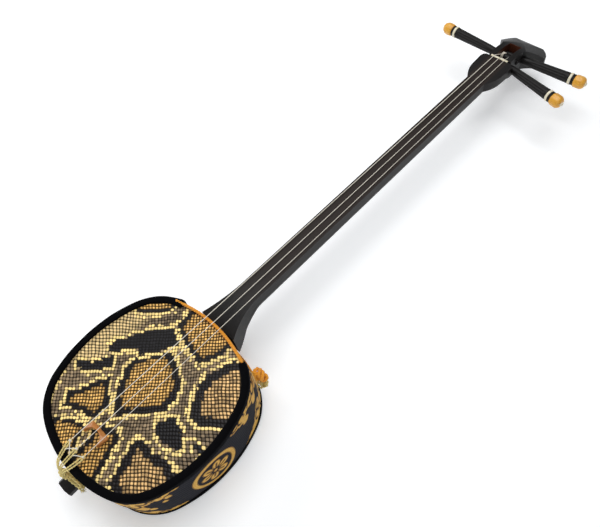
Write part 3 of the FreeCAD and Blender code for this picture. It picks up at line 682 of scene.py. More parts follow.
def add_band(name, insets, heights, start, stop, wobble, seed, swollen=0.0):
    """A closed profile, as insets and heights in mm, carried along the outline with a slow wobble. Its
    ends close about the profile's middle as the root of 1 - d^2 over 4 mm."""
    length = stop - start
    run = np.linspace(0, length, int(length / (1.1 * mm)))
    insets, heights = np.asarray(insets) * mm, np.asarray(heights) * mm
    middle_in, middle_z = insets.mean(), heights.mean()
    from_end = np.minimum(run, length - run)
    close = np.sqrt(np.clip(1 - np.clip(1 - from_end / (4 * mm), 0, 0.995) ** 2, 0, 1))
    place = run / mm
    swell = 1 + wobble * (np.sin(place / 11 + seed) * 0.5 + np.sin(place / 4.3 + 2 * seed) * 0.3)
    swell += swollen * np.exp(-((run - 5 * mm) / (5 * mm)) ** 2)
    point, out = outline(start + run)
    grow = (close * swell)[:, None]
    inset = middle_in + (insets - middle_in)[None, :] * grow
    xy = point[:, None] - out[:, None] * inset[..., None]
    z = middle_z + (heights - middle_z)[None, :] * grow
    return add_tables(name, [np.concatenate([xy, z[..., None]], -1)], velvet)


def oval(middle_in, middle_high, half_wide, half_high, power, start=0.0, stop=2 * math.pi, count=22):
    """Part of a squarish oval: (cos^p, sin^p) of an angle, inwards and upwards, in mm."""
    t = np.linspace(start, stop, count, endpoint=stop - start < 6.28)
    cos, sin = np.cos(t), np.sin(t)
    return middle_in + half_wide * squared(cos, power), middle_high + half_high * squared(sin, power)


face_mm = face / mm
top_in, top_high = oval(3.7, face_mm, 3.9, 2.6, 0.72, stop=math.pi, count=15)
side_in = np.array([-0.3, -0.35, -0.3, 0.0, 0.6, 1.5, 2.2, 2.35, 2.4, 4.0, 6.0])
side_high = face_mm + np.array([-1.5, -3.0, -4.6, -5.7, -6.1, -6.0, -5.0, -2.5, 0.1, 0.1, 0.1])
left_reach = gap_run + 10 * mm
front_in, front_high = np.concatenate([top_in, side_in]), np.concatenate([top_high, side_high])
front_band = add_band("front_velvet", front_in, front_high, -left_reach, gap_run + 1.5 * mm,
                      0.05, 0.4, swollen=0.16)
dress(front_band, "lute", "velvet", "front_piping")
back_in, back_high = oval(0.55, 3.3, 1.25, 2.95, 0.8)
back_band = add_band("back_velvet", back_in, back_high, -gap_run, gap_run, 0.04, 1.9)
dress(back_band, "lute", "velvet", "back_piping")

# %% [markdown]
# ## Brocade
#
# The cover is a strip of brocade drawn round the body: a dark ribbed ground with gold figures that
# float over it. The figures are a flower in a ring, and clouds that curl beside it. Each point of the
# strip holds its distance to the edge of the nearest figure. The shader cuts that smooth distance at
# zero, and the edge stays sharp at any zoom. The distance also raises the gold over the ground.

# %% Figures, as distances in mm: positive inside the gold
flower_at, flower_high = 149.0, 32.0


def disc(s, z, at, high, radius):
    return radius - np.hypot(s - at, z - high)


def ring_and_flower(s, z):
    """A ring, and in it six petals round a button: the petals are one disc, folded round the middle."""
    reach, turn = np.hypot(s - flower_at, z - flower_high), np.arctan2(z - flower_high, s - flower_at)
    ring = 2.9 - np.abs(reach - 22.6)
    sector = math.pi / 3
    folded = (turn + 0.4) % sector - sector / 2
    px, pz = reach * np.cos(folded), reach * np.sin(folded)
    petal = 4.9 - np.hypot((px - 10.6) * 0.78, pz * (1.18 - 0.015 * px))
    vein = np.where(px < 13, np.abs(pz) - 0.42, 9)
    return np.maximum.reduce([ring, np.minimum(petal, vein), 2.6 - reach])


cloud_lobes = [
    [(90, 62, 9), (102, 63, 8), (113, 64, 6), (80, 57, 10), (72, 47, 9), (76, 36, 7), (97, 56, 5),
     (84, 31, 4), (104, 50, 4), (99, 42, 3), (60, 52, 6), (54, 40, 5)],
    [(70, 8, 10), (80, 14, 6), (86, 6, 8), (98, 6, 6.5), (106, 4, 6), (112, 2, 4), (57, 12, 7), (50, 24, 5)],
    [(186, 62, 8), (196, 58, 9), (207, 63, 8), (218, 60, 10), (228, 56, 10), (236, 66, 9), (200, 47, 5.5),
     (222, 46, 6), (240, 48, 9), (246, 36, 7)],
    [(222, 24, 8), (216, 15, 9), (206, 9, 7), (197, 6, 6.5), (188, 3, 4.5), (232, 12, 9), (244, 20, 9)],
    [(44, 58, 8), (34, 52, 7), (25, 60, 8), (14, 56, 6), (38, 42, 5), (4, 62, 6)],
    [(38, 10, 9), (26, 8, 8.5), (13, 12, 9), (2, 8, 8), (30, 20, 5)],
]


def cloud(s, z, lobes):
    """Discs that run into each other, each cut by a curl: part of a thin ring, open on one side."""
    whole = np.max([disc(s, z, *lobe) for lobe in lobes], axis=0)
    whole += 0.5 * np.sin(s * 1.1) * np.sin(z * 0.9)
    for k, (at, high, radius) in enumerate(lobes):
        if radius < 7.5:
            continue
        reach, turn = np.hypot(s - at, z - high), np.arctan2(z - high, s - at)
        spiral = radius * (0.62 - 0.1 * np.abs((turn + k) % (2 * math.pi) - math.pi) / math.pi)
        open_side = np.cos(turn + 1.1 * k) * 3 - 1.4
        whole = np.minimum(whole, np.maximum(np.abs(reach - spiral) - 0.75, open_side))
    return whole


def figures(s, z):
    """All the gold on the strip, the same on the left of the tail as on the right."""
    s = np.abs(s)
    return np.max([ring_and_flower(s, z)] + [cloud(s, z, lobes) for lobes in cloud_lobes], axis=0)


# %% Brocade strip
def add_cover(name, finish, low, high, thick=0.9 * mm, back_rows=8):
    """The strip: the outline at each height, with folds that ripple outwards, and a plain back."""
    run = np.linspace(-gap_run, gap_run, int(2 * gap_run / (0.7 * mm)))
    height = np.linspace(low, high, int((high - low) / (0.7 * mm)))
    s, z = np.meshgrid(run, height, indexing="ij")
    gold = figures(s / mm, z / mm)
    point, out = outline(s)
    ripple = 0.22 * np.sin(s / mm / 13 + 0.08 * z / mm) + 0.15 * np.sin(z / mm / 6.5 + s / mm / 31)
    raised = 0.14 * np.clip(gold / 0.5 + 0.5, 0, 1)
    bulge = 0.35 * np.sin(math.pi * (height - low) / (high - low))
    off = (ripple + raised + bulge - 0.35) * mm
    front = np.concatenate([point + out * off[..., None], z[..., None]], -1)
    back_z = np.linspace(high, low, back_rows)
    back_point, back_out = outline(run)
    back_xy = np.repeat((back_point - back_out * thick)[:, None], back_rows, 1)
    back = np.concatenate([back_xy, np.broadcast_to(back_z[None, :, None], (len(run), back_rows, 1))], -1)
    table = np.concatenate([front, back], 1)
    rows, columns = table.shape[:2]
    up_strip = np.tile(np.concatenate([height, back_z]), (rows, 1))
    uv = np.stack([np.repeat(run[:, None], columns, 1), up_strip], -1) / mm
    edge = np.concatenate([gold, np.full((rows, back_rows), -5.0)], 1)
    return add_piece(name, table, grid_faces(rows, columns), finish, uv, {"gold": edge.ravel()})


def make_brocade():
    """Dark ribs of paired threads, and gold floats with a darker cord at their edge."""
    finish = Finish("brocade", {"Sheen Weight": 0.02, "Sheen Roughness": 0.5, "Specular IOR Level": 0.1})
    s, z = finish.uv()
    gold = finish.attribute("gold")
    mask = gold.ramp(-0.1, 0.12)
    border = (gold - 0.45).size().ramp(0.55, 0.3) * mask
    column = (s / 1.7).part()
    shifted = z / 2.6 + (s / 1.7).math("FLOOR") * 0.5
    rib = (column * math.pi).wave() * (shifted.part() * math.pi).wave().math("POWER", 0.5)
    thread = ((s * 0.55 + z * 1.9) * 4.4).wave() * 0.5 + 0.5
    float_noise = finish.noise(420.0, 3.0)
    flecks = finish.noise(1500.0, 2.0)
    ground = finish.blend(rib * 0.6 + flecks * 0.3, paint(3, 3, 6), paint(44, 45, 56))
    gilt = finish.blend(thread * 0.45 + float_noise * 0.6, paint(196, 132, 44), paint(255, 212, 106))
    gilt = finish.blend(border * 0.8, gilt, paint(112, 62, 16))
    finish.feed("Base Color", finish.blend(mask, ground, gilt))
    finish.feed("Roughness", 0.75 - mask * 0.27 + flecks * 0.1)
    return finish.bump(rib * (1 - mask) * 0.8 + thread * mask * 0.5 + flecks * 0.2, 0.35 * mm, 0.7)


cover = add_cover("cover_brocade", make_brocade(), cover_low[2], cover_high[2])
dress(cover, "lute", "brocade", "cover_fabric")

# %% [markdown]
# ## Black lacquered wood
#
# The neck is one piece of dark wood under lacquer, and its shape stays as it was cut. The fingerboard's
# top carries a painted brown sheen, a reflection painted into its colour, and is a little rougher than
# the sides, whose lacquer shows a long fine grain. One finish does both, by height and by length on the
# piece itself. The same lacquer covers the shafts of the pegs.

# %% Black wood
nut_low, nut_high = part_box("nut")
nut_y, board = (nut_low.y + nut_high.y) / 2, nut_high.z - 0.7 * mm
slot_long = 37.4 * mm


def make_black_wood(name, board_sheen_and_slot):
    """Near-black lacquer over grain that runs along Y; the second argument adds the painted brown sheen on
    the fingerboard's top, a reflection, and the red inside the peg slot.
    """
    finish = Finish(name, {"Specular IOR Level": 0.24, "Coat Roughness": 0.22})
    grain = finish.noise(1.0, 4.0, finish.stretched((900, 60, 900)))
    pores = finish.noise(1.0, 2.0, finish.stretched((2400, 240, 2400))).ramp(0.62, 0.72)
    haze = finish.noise(38.0, 3.0)
    colour = finish.blend(grain * 0.7 + haze * 0.3, paint(9, 8, 8), paint(27, 24, 23))
    rough = 0.34 + grain * 0.16 + haze * 0.1
    if board_sheen_and_slot:
        x, y, z = finish.split(finish.place(), 3)
        # Painted reflection: the flat top of the fingerboard is tinted brown where its lacquer shone, fading
        # to black towards the heel.
        board_sheen = (z + (y - nut_y) * 0.0052).ramp(board - 1.0 * mm, board - 0.3 * mm)
        board_sheen = board_sheen * y.ramp(0.105, 0.185) * y.ramp(nut_y + 4 * mm, nut_y)
        board_sheen = board_sheen * x.size().ramp(13.0 * mm, 12.0 * mm)
        sheen_brown = finish.blend(grain, paint(34, 24, 19), paint(62, 45, 36))
        colour = finish.blend(board_sheen * 0.4, colour, sheen_brown)
        slot_end = nut_y + slot_long
        in_slot = x.size().ramp(8.3 * mm, 7.9 * mm) * y.ramp(nut_y, nut_y + 2 * mm)
        in_slot = in_slot * y.ramp(slot_end + 0.8 * mm, slot_end) * z.ramp(board, board - 3 * mm)
        red = finish.blend(grain, paint(70, 34, 22), paint(112, 60, 38))
        colour = finish.blend(in_slot * 0.8, colour, red)
        rough = rough + board_sheen * 0.1
    finish.feed("Base Color", colour)
    finish.feed("Roughness", rough)
    return finish.bump(grain * 0.5 - pores * 0.5, 0.12 * mm, 0.35)


neck_wood = make_black_wood("neck_lacquer", True)
peg_wood = make_black_wood("peg_lacquer", False)


def repaint(node, finish):
    """A carried-over piece keeps its shape and takes a new finish."""
    mesh = nodes[node].data
    mesh.materials.clear()
    mesh.materials.append(finish.material)


repaint("neck", neck_wood)

# %% [markdown]
# ## Bone and amber
#
# The nut, the rings and the tips of the pegs are bone, and the caps are of a yellow, faintly clouded
# material. Both are smooth and a little uneven in colour, with short darker streaks.

# %% Bone and amber
def make_bone(name, pale, dark, streak):
    finish = Finish(name, {
        "Specular IOR Level": 0.5, "Coat Roughness": 0.15, "Subsurface Weight": 0.12,
        "Subsurface Radius": (0.6, 0.4, 0.2), "Subsurface Scale": 0.002})
    cloud, streaks = finish.noise(160.0, 3.0), finish.noise(1.0, 3.0, finish.stretched((300, 1500, 1500)))
    colour = finish.blend(cloud * 0.6 + streaks.ramp(0.45, 0.75) * streak, pale, dark)
    finish.feed("Base Color", colour)
    finish.feed("Roughness", 0.26 + streaks * 0.16)
    return finish.bump(streaks + cloud * 0.4, 0.08 * mm, 0.4)


bone = make_bone("bone", paint(240, 234, 214), paint(202, 188, 150), 0.5)
amber = make_bone("amber", paint(240, 184, 70), paint(196, 128, 30), 0.6)


def add_nut(half, low, high, middle_y, thick, grooves, radius):
    """The bar under the strings: across it a squarish oval, along X a top that dips at each string by
    a round groove, and ends that round off."""
    x = np.linspace(-half, half, 160)
    t = np.linspace(0, 2 * math.pi, 28, endpoint=False)
    power = 0.45
    across, up = squared(np.cos(t), power) * thick / 2, squared(np.sin(t), power)
    dip = np.max([np.clip(1 - ((x - g) / (radius * 1.3)) ** 2, 0, None) ** 0.5 for g in grooves], axis=0)
    from_end = np.clip((half - np.abs(x)) / (0.5 * mm), 0.02, 1)
    close = np.sqrt(1 - (1 - from_end) ** 2)
    top = high - dip * radius * 0.9
    middle, reach = (low + top) / 2, (top - low) / 2
    points = np.stack([
        np.repeat(x[:, None], len(t), 1), middle_y + across[None] * close[:, None],
        middle[:, None] + up[None] * (reach * (0.5 + 0.5 * close))[:, None]], -1)
    return add_tables("nut_bar", [points[:, ::-1]], bone)


string_radii = {"string_1": 0.4 * mm, "string_2": 0.34 * mm, "string_3": 0.29 * mm}
half_nut, half_tail = 7.5 * mm, 10.9 * mm
tail_in, tail_rise = 18.5, 7.5
grooves = [side * half_nut for side in (-1, 0, 1)]
nut = add_nut(nut_high.x, nut_low.z, nut_high.z, nut_y, nut_high.y - nut_low.y, grooves, 0.5 * mm)
dress(nut, "lute", "bone", "nut")

# %% [markdown]
# ## Pegs
#
# A peg is turned on a lathe and then fluted by hand: a thin throat by the head, a long grip with eight
# shallow flutes that fade in and out, a bone ring, a black spacer, a cap with eight facets and a bone
# tip. On a lathe's axis a surface is a radius for each distance and angle, so one function makes
# every piece, and the flutes and facets are a second function of the angle.

# %% Turned pieces
def add_turned(name, base, out, distances, radii, finish, shape, around):
    """Radius(distance) * shape(distance, angle) about an axis; the ends are closed."""
    distances, radii = np.asarray(distances), np.asarray(radii)
    t = np.linspace(0, 2 * math.pi, around, endpoint=False)
    scale = np.ones((len(distances), around)) if shape is None else shape(distances[:, None], t[None])
    up = np.array([0, 0, 1.0])
    aside = np.cross(out, up)
    ring = aside * np.cos(t)[None, :, None] + up * np.sin(t)[None, :, None]
    points = base + out * distances[:, None, None] + ring * (radii[:, None] * scale)[..., None]
    return add_tables(name, [points[:, ::-1]], finish)


def smooth_profile(marks, count):
    """Distances and radii, in mm, on a soft curve through the marks' neighbourhood."""
    path = route([(d, r, 0) for d, r in marks], 0.1 * mm)
    keep = np.linspace(0, len(path) - 1, count).astype(int)
    return path[keep, 0], path[keep, 1]


def flutes(start, stop, deep):
    """1 - deep * |sin 4a|^0.7 between two distances, and 1 outside them."""
    def shape(d, t):
        fade = np.clip((d - start) / (7 * mm), 0, 1) * np.clip((stop - d) / (3 * mm), 0, 1)
        return 1 - deep * fade * (1 - np.abs(np.sin(4 * t)) ** 0.7)
    return shape


def facets(count, soft):
    """The radius of a regular polygon, cos(half) / cos(angle from the middle of a side), softened."""
    def shape(d, t):
        half = math.pi / count
        flat = math.cos(half) / np.cos(t % (2 * half) - half)
        return np.broadcast_to(1 - soft + soft * flat, np.broadcast_shapes(d.shape, t.shape))
    return shape


def axis_of(joint):
    found = next(j for j in frame["joints"] if j["name"] == joint)
    return np.array(found["pos_m"], float), unit(np.array(found["axis"], float))


# %% Three pegs
# Each piece of a peg: what it is, its finish and that finish's name, its marks in mm from the joint, how
# many steps it has, how many points go round it, and its shape.
peg_pieces = [
    ("grip", "shaft", peg_wood, "black_wood", 150, 64, flutes(26 * mm, 76 * mm, 0.11),
     [(-17.2, 3.1), (-17.2, 3.2), (15.2, 4.1), (16.4, 4.2), (17.4, 4.5), (21.5, 4.9), (26.0, 5.1),
      (29.0, 5.5), (45.0, 5.9), (62.0, 6.3), (75.0, 6.65), (78.0, 6.5), (78.5, 6.2)]),
    ("bone_ring", "ring", bone, "bone", 26, 64, None,
     [(78.4, 6.0), (78.4, 6.9), (78.9, 7.2), (80.0, 7.2), (81.1, 7.2), (81.6, 6.9), (81.6, 6.0)]),
    ("black_spacer", "spacer", peg_wood, "black_wood", 28, 64, None,
     [(81.5, 5.7), (81.5, 6.4), (82.2, 6.9), (83.2, 6.3), (84.2, 6.9), (85.0, 6.5), (85.0, 5.7)]),
    ("amber_cap", "cap", amber, "amber", 44, 64, facets(8, 0.75),
     [(84.9, 5.5), (84.9, 6.8), (86.5, 7.6), (90.0, 7.7), (95.0, 7.6), (98.0, 5.6), (98.5, 3.4),
      (98.5, 2.0)]),
    ("bone_tip", "tip", bone, "bone", 20, 32, None,
     [(98.2, 2.4), (98.5, 2.8), (99.6, 2.7), (100.4, 1.7), (100.5, 0.8), (100.5, 0.4)]),
]


def add_peg(name):
    """One peg from its joint: the joint's place and axis are the peg's own axis."""
    base, out = axis_of(f"{name}_turn")
    for look, part, finish, slot, steps, around, shape, marks in peg_pieces:
        distances, radii = smooth_profile(marks, steps)
        piece = add_turned(f"{name}_{look}", base, out, distances, radii, finish, shape, around)
        dress(piece, name, slot, f"{name}_{part}")
    return base, out


pegs = {name: add_peg(name) for name in ("peg_low", "peg_middle", "peg_high")}
print("pegs:", ", ".join(pegs))

# %% [markdown]
# ## Strings
#
# The strings are white twisted silk. Each lies straight from its loop at the tail to the nut, bends
# over the nut and goes down to a few turns on its peg. The loose bridge can be stood up, and then it
# lifts the strings, so each is made in three lengths: two that meet over the bridge's feet, and the
# last, beyond the nut.

# %% Strings
def make_string_finish():
    finish = Finish("silk", {"Specular IOR Level": 0.5, "Sheen Weight": 0.1})
    turn, run = finish.uv()
    twist = ((run * 2.1 + turn * 0.5) * 2 * math.pi).wave() * 0.5 + 0.5
    finish.feed("Base Color", finish.blend(twist * 0.8, paint(236, 226, 204), paint(255, 252, 244)))
    finish.feed("Roughness", 0.42 + twist * 0.1)
    return finish.bump(twist, 0.08 * mm, 0.6)


silk = make_string_finish()
winding_place = {"peg_low": 0.0, "peg_middle": -5 * mm, "peg_high": 5 * mm}
string_pegs = {"string_1": "peg_middle", "string_2": "peg_low", "string_3": "peg_high"}
tilt_at = axis_of("bridge_tilt")[0]
bridge_low, bridge_high = (corner * mm for corner in box_mm("bridge"))
lift_y = tilt_at[1] - (bridge_high[2] - bridge_low[2]) / 2
throat_radius, coil_turns = 3.95 * mm, 4.25


def add_string(name, side, peg):
    """Three lengths of one string, and its turns on the peg: a helix round the peg's axis."""
    radius = string_radii[name]
    base, out = pegs[peg]
    tail = np.array([side * half_tail, -half_length + tail_in * mm, face + tail_rise * mm])
    top = np.array([side * half_nut, nut_y, nut_high.z + radius * 0.6])
    share = (lift_y - tail[1]) / (top[1] - tail[1])
    middle = tail + (top - tail) * share
    long = add_tables(f"{name}_to_nut", [tube(np.linspace(middle, top, 260), radius)], silk)
    early = tail + (top - tail) * (share + 0.006)
    short = add_tables(f"{name}_to_tail", [tube(np.linspace(tail, early, 12), radius * 0.98)], silk)
    centre = base + out * (winding_place[peg] * (1 if out[0] > 0 else -1))
    coil_radius = throat_radius + radius
    t = np.linspace(0, 2 * math.pi * coil_turns, 130)
    aside = np.cross(out, (0, 0, 1.0))
    forward = aside if aside[1] > 0 else -aside
    step = radius * 2.06
    along = (t / (2 * math.pi) - coil_turns / 2)[:, None] * step
    ring = np.array([0, 0, 1.0]) * np.cos(t)[:, None] + forward * np.sin(t)[:, None]
    coil = centre + out * along + coil_radius * ring
    dress(add_tables(f"{name}_turns", [tube(coil, radius, out, 8)], silk), peg, "string", f"{peg}_winding")
    leave = coil[0] + np.array([0, 0, 0.15 * mm])
    bend = np.array([top[0], nut_y + 1.2 * mm, nut_high.z + radius * 0.3]) / mm
    last = route([top / mm, bend, *np.linspace(bend, leave / mm, 5)[1:]], 0.5 * mm)
    end = add_tables(f"{name}_to_peg", [tube(last, radius, (1, 0, 0.01), 10)], silk)
    for piece in (long, short, end):
        dress(piece, "lute", "string")
    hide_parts(name)
    return long, short


string_pieces = [add_string(name, side, string_pegs[name]) for name, side in zip(string_radii, (-1, 0, 1))]

# %% [markdown]
# ## Bridge
#
# The bridge is a small arch of bamboo that only the strings hold, so it can be laid flat. Its outer
# and its inner outline are two curves, and the wood between them is a blend from one to the other; the
# feet are thick and the crown is thin. Bamboo's fibres run along the crown and show as fine dark dashes.

# %% Bridge
def make_bamboo():
    finish = Finish("bamboo", {"Specular IOR Level": 0.5, "Coat Weight": 0.25, "Coat Roughness": 0.2})
    fibres = finish.noise(1.0, 4.0, finish.stretched((260, 2600, 2600)))
    warm = finish.noise(220.0, 2.0)
    colour = finish.blend(fibres.ramp(0.35, 0.7), paint(206, 132, 66), paint(150, 82, 34))
    finish.feed("Base Color", finish.blend(warm * 0.5, colour, paint(222, 158, 88)))
    finish.feed("Roughness", 0.33 + fibres * 0.2)
    return finish.bump(fibres, 0.1 * mm, 0.5)


def add_bridge(finish):
    """u runs from foot to foot, w from the inner outline to the outer, and round the section t."""
    low, high = bridge_low / mm, bridge_high / mm
    width, tall, thick = high - low
    half, middle_x, shoulder = width / 2, (high[0] + low[0]) / 2, 0.42
    u = np.linspace(-1, 1, 120)
    turned = np.clip(np.abs(u) / shoulder, 0, 1)
    leg = np.clip((np.abs(u) - shoulder) / (1 - shoulder), 0, 1)
    corner = np.sin(turned * math.pi / 2)
    outer_x = np.sign(u) * (half * corner - 0.9 * leg)
    outer_y = tall - 0.7 * turned ** 2 - 0.8 * np.clip(turned - 0.8, 0, 1) - (tall - 1.0) * leg
    foot_wide, crown_deep = 2.7, 3.3
    inner_half, arch = half - foot_wide, tall - crown_deep
    angle = np.abs(u) * math.pi / 2
    inner_x, inner_y = np.sign(u) * inner_half * np.sin(angle) ** 0.9, arch * np.cos(angle) ** 0.8
    outer_y = np.maximum(outer_y, 0)
    notch = np.max([np.exp(-((outer_x - g) / 0.5) ** 2) for g in (-8.6, 0.6, 9.8)], axis=0) * (leg == 0)
    outer_y = outer_y - 0.35 * notch
    t = np.linspace(0, 2 * math.pi, 24, endpoint=False)
    w, rise = 0.5 + 0.5 * squared(np.cos(t), 0.35), squared(np.sin(t), 0.35)
    slim = thick / 2 * (1 - 0.66 * (np.maximum(outer_y, 0) / tall)[:, None] * w[None])
    x = inner_x[:, None] * (1 - w) + outer_x[:, None] * w + middle_x
    y = inner_y[:, None] * (1 - w) + outer_y[:, None] * w + low[1]
    z = low[2] + slim + rise[None] * slim
    return add_tables("bamboo_bridge", [np.stack([x, y, z], -1)[:, ::-1] * mm], finish)


bridge = add_bridge(make_bamboo())
dress(bridge, "bridge", "bamboo", "bridge")

# %% [markdown]
# ## Twisted cord
#
# Cord is plies that circle one another. Its route is a few listed points, its plies are tubes
# round that route, and the yarns within a ply are fine slanted lines in the finish. The tail cord is
# yellow silk: three doubled loops hold the strings, meet in a knot, and the ends go round the stem.

# %% Cord finishes
def make_cord(name, pale, dark):
    finish = Finish(name, {"Sheen Weight": 0.25, "Sheen Roughness": 0.45, "Specular IOR Level": 0.35})
    turn, run = finish.uv()
    yarn = ((run * 1.5 + turn * 1.4) * 2 * math.pi).wave() * 0.5 + 0.5
    fuzz = finish.noise(1800.0, 3.0)
    hue = finish.noise(120.0, 2.0)
    colour = finish.blend(yarn * 0.55 + fuzz * 0.3 + hue * 0.25, dark, pale)
    finish.feed("Base Color", colour)
    finish.feed("Roughness", 0.62 + fuzz * 0.2)
    return finish.bump(yarn + fuzz * 0.7, 0.2 * mm, 0.8)


yellow = make_cord("yellow_silk", paint(255, 244, 176), paint(222, 190, 92))
orange = make_cord("orange_silk", paint(255, 186, 52), paint(226, 122, 12))

# %% Tail cord
knot = sum(box_mm("tail_knot")) / 2
tail_y, tail_z = -half_length / mm, face_mm


def knot_path(middle, size, tilt=0.0, count=260):
    """A trefoil: (sin t + 2 sin 2t, cos t - 2 cos 2t, -sin 3t), turned about Z and set at a place."""
    t = np.linspace(0, 2 * math.pi, count)
    x, y, z = np.sin(t) + 2 * np.sin(2 * t), np.cos(t) - 2 * np.cos(2 * t), -np.sin(3 * t)
    c, s = math.cos(tilt), math.sin(tilt)
    return np.stack([c * x - s * y, z * 1.3, s * x + c * y], 1) * size / 3 * mm + np.array(middle) * mm


def add_ropes(name, paths, radius, finish, plies=2, turn=6.5, up=(0, 0, 1)):
    """Several lengths of twisted cord as one piece; a path of points in mm is made smooth first."""
    tables = []
    for path in paths:
        path = route(path, 0.45 * mm) if isinstance(path, list) else path
        tables += rope_tables(path, radius * mm, plies, turn, up)
    return add_tables(name, tables, finish)


def loop_routes(side):
    """The two strands of one loop: round the string's end, over the velvet and down to the knot."""
    x, y, z = side * half_tail / mm, tail_y + tail_in, tail_z + tail_rise
    end_x = knot[0] + side * 3.6
    strands = []
    for k in (-1, 1):
        strands.append([
            (x, y + 0.6, z + 0.1), (x + k * 1.0, y - 0.6, z), (x * 0.95 + k * 1.35, y - 6, z - 0.6),
            (x * 0.8 + k * 1.3, y - 12.5, z - 1.9), (x * 0.62 + k * 1.1, y - 19.0, z - 3.0),
            (end_x * 1.05 + k * 0.9, y - 23.0, z - 6.2), (end_x * 0.8 + k * 0.7, y - 25.0, z - 11.0)])
    return strands


tail_loops = []
for side, number in zip((-1, 0, 1), (1, 2, 3)):
    loop = add_ropes(f"tail_cord_loop_{number}", loop_routes(side), 0.82, yellow, up=(1, 0, 0.02))
    tail_loops.append(dress(loop, "lute", "yellow_cord", f"tail_loop_{number}"))

knot_cord = add_ropes("tail_cord_knot", [
    knot_path(knot, 4.6, 0.4), knot_path(knot + [0, -0.6, -1.0], 4.2, 1.5)], 1.25, yellow)
dress(knot_cord, "lute", "yellow_cord", "tail_knot")

collar_low, collar_high = box_mm("tail_collar")


def collar_path(turns, radius):
    """A squarish helix round the stem: an oval raised to the power 0.75 that creeps along Y."""
    t = np.linspace(math.pi / 2, math.pi / 2 + 2 * math.pi * turns, int(90 * turns))
    middle, half = (collar_low + collar_high) / 2, (collar_high - collar_low) / 2 - radius
    x = middle[0] + half[0] * squared(np.cos(t), 0.75)
    z = middle[2] + half[2] * squared(np.sin(t), 0.75)
    share = (t - t[0]) / (t[-1] - t[0])
    y = collar_high[1] - radius - share * (collar_high[1] - collar_low[1] - 2 * radius)
    return even(np.stack([x, y, z], 1) * mm, 0.5 * mm)


collar = add_ropes("tail_cord_turns", [collar_path(3.0, 1.35)], 1.35, yellow, up=(0, 1, 0))
dress(collar, "lute", "yellow_cord", "tail_collar")

ends_low, ends_high = box_mm("tail_cord_ends")


def fray(tip, heading, count, length, radius, seed):
    """Loose yarns that fan out of a cord's end, each a thin bent tube."""
    rng = np.random.default_rng(seed)
    tables = []
    for _ in range(count):
        swing = heading + rng.normal(0, 0.28, 3)
        droop = swing + np.array([0, 0, -0.35]) + rng.normal(0, 0.2, 3)
        path = [tip, tip + swing * length * 0.45, tip + swing * length * 0.6 + droop * length * 0.4]
        tables.append(tube(route([tuple(p) for p in path], 0.6 * mm), radius * mm, (0.3, 0.9, 0.2), 5))
    return tables


top_end = [(knot[0] + 2.0, knot[1] + 1.5, knot[2] - 1.5), (knot[0] + 6, knot[1] + 2, knot[2] - 4),
           (11.0, ends_high[1] - 1.6, ends_high[2] - 2.0), (17.5, ends_high[1] - 2.0, ends_high[2] - 5.4)]
low_end = [(knot[0] + 2.0, knot[1] - 0.5, knot[2] - 4.0), (knot[0] + 6, knot[1] - 1.5, knot[2] - 8),
           (11.0, ends_low[1] + 2.0, ends_low[2] + 4.6), (16.5, ends_low[1] + 2.2, ends_low[2] + 2.4)]
end_tables = []
for points, seed in ((top_end, 5), (low_end, 6)):
    end_tables += rope_tables(route(points, 0.45 * mm), 1.25 * mm, 2, 6.5, (0.1, 0, 1))
    end_tables += fray(np.array(points[-1]), np.array([0.9, 0.05, -0.35]), 16, 3.6, 0.16, seed)
loose = add_tables("tail_cord_loose_ends", end_tables, yellow)
dress(loose, "lute", "yellow_cord", "tail_cord_ends")

# %% Ends of the strings, tied into the loops
def string_knot(side):
    """A small overhand knot at a loop, and a short end that lies across to its neighbour."""
    x, y, z = side * half_tail / mm, tail_y + 17.6, tail_z + 7.2
    rx, ry, rz = {-1: (9.5, -8.0, -2.2), 0: (-9.0, -9.0, -3.2), 1: (-8.5, -6.0, -1.5)}[side]
    end = [(x, y, z + 0.8), (x + rx * 0.4, y + ry * 0.35, z + 1.3), (x + rx * 0.8, y + ry * 0.7, z + 0.9),
           (x + rx, y + ry, z + rz + 1.6)]
    return [tube(knot_path((x, y, z + 0.2), 1.25, side * 0.7, 90), 0.5 * mm, (0, 0, 1), 8),
            tube(route(end, 0.5 * mm), 0.4 * mm, (0.1, 0, 1), 8)]


tail_knots = add_tables("string_ends", sum((string_knot(side) for side in (-1, 0, 1)), []), silk)
dress(tail_knots, "lute", "string")

# %% [markdown]
# ## Strings and cords over the bridge
#
# The bridge turns on its feet until it stands, and its crown then lifts the strings by about five
# millimetres. Here each long string, each short length, the loops and the strings' ends only get a
# mesh of their own; nothing here swings or stretches them.

# %% Meshes of their own
for long, _ in string_pieces:
    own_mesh(long)
for piece in [short for _, short in string_pieces] + tail_loops + [tail_knots]:
    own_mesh(piece)

# %% [markdown]
# ## Tie cord
#
# An orange cord ties the two ends of the cover together across the neck, once over the face and once
# behind the heel. It is pulled tight, so it lies in one arc, and it ends in a knot and a bunch of
# loops outside the velvet on the right.

# %% Tie cord
tie_half, tie_radius = 50.5, 1.7
hard_laid = {"finish": orange, "plies": 3, "turn": 5.5}


def arc_route(low, high):
    """Points on the arc that fits in a box, from its left end over its middle to its right end."""
    y_end, y_middle, z = low[1] + 2.2, high[1] - 1.6, (low[2] + high[2]) / 2
    shares = (-1, -0.6, -0.2, 0.2, 0.6, 1)
    return [(tie_half * k, y_middle - (y_middle - y_end) * k * k, z) for k in shares]


for look, node in (("over_face", "front"), ("behind", "back")):
    path = arc_route(*box_mm(f"tie_cord_{node}"))
    tie = add_ropes(f"tie_cord_{look}", [path], tie_radius, **hard_laid)
    dress(tie, "lute", "orange_cord", f"tie_cord_{node}")

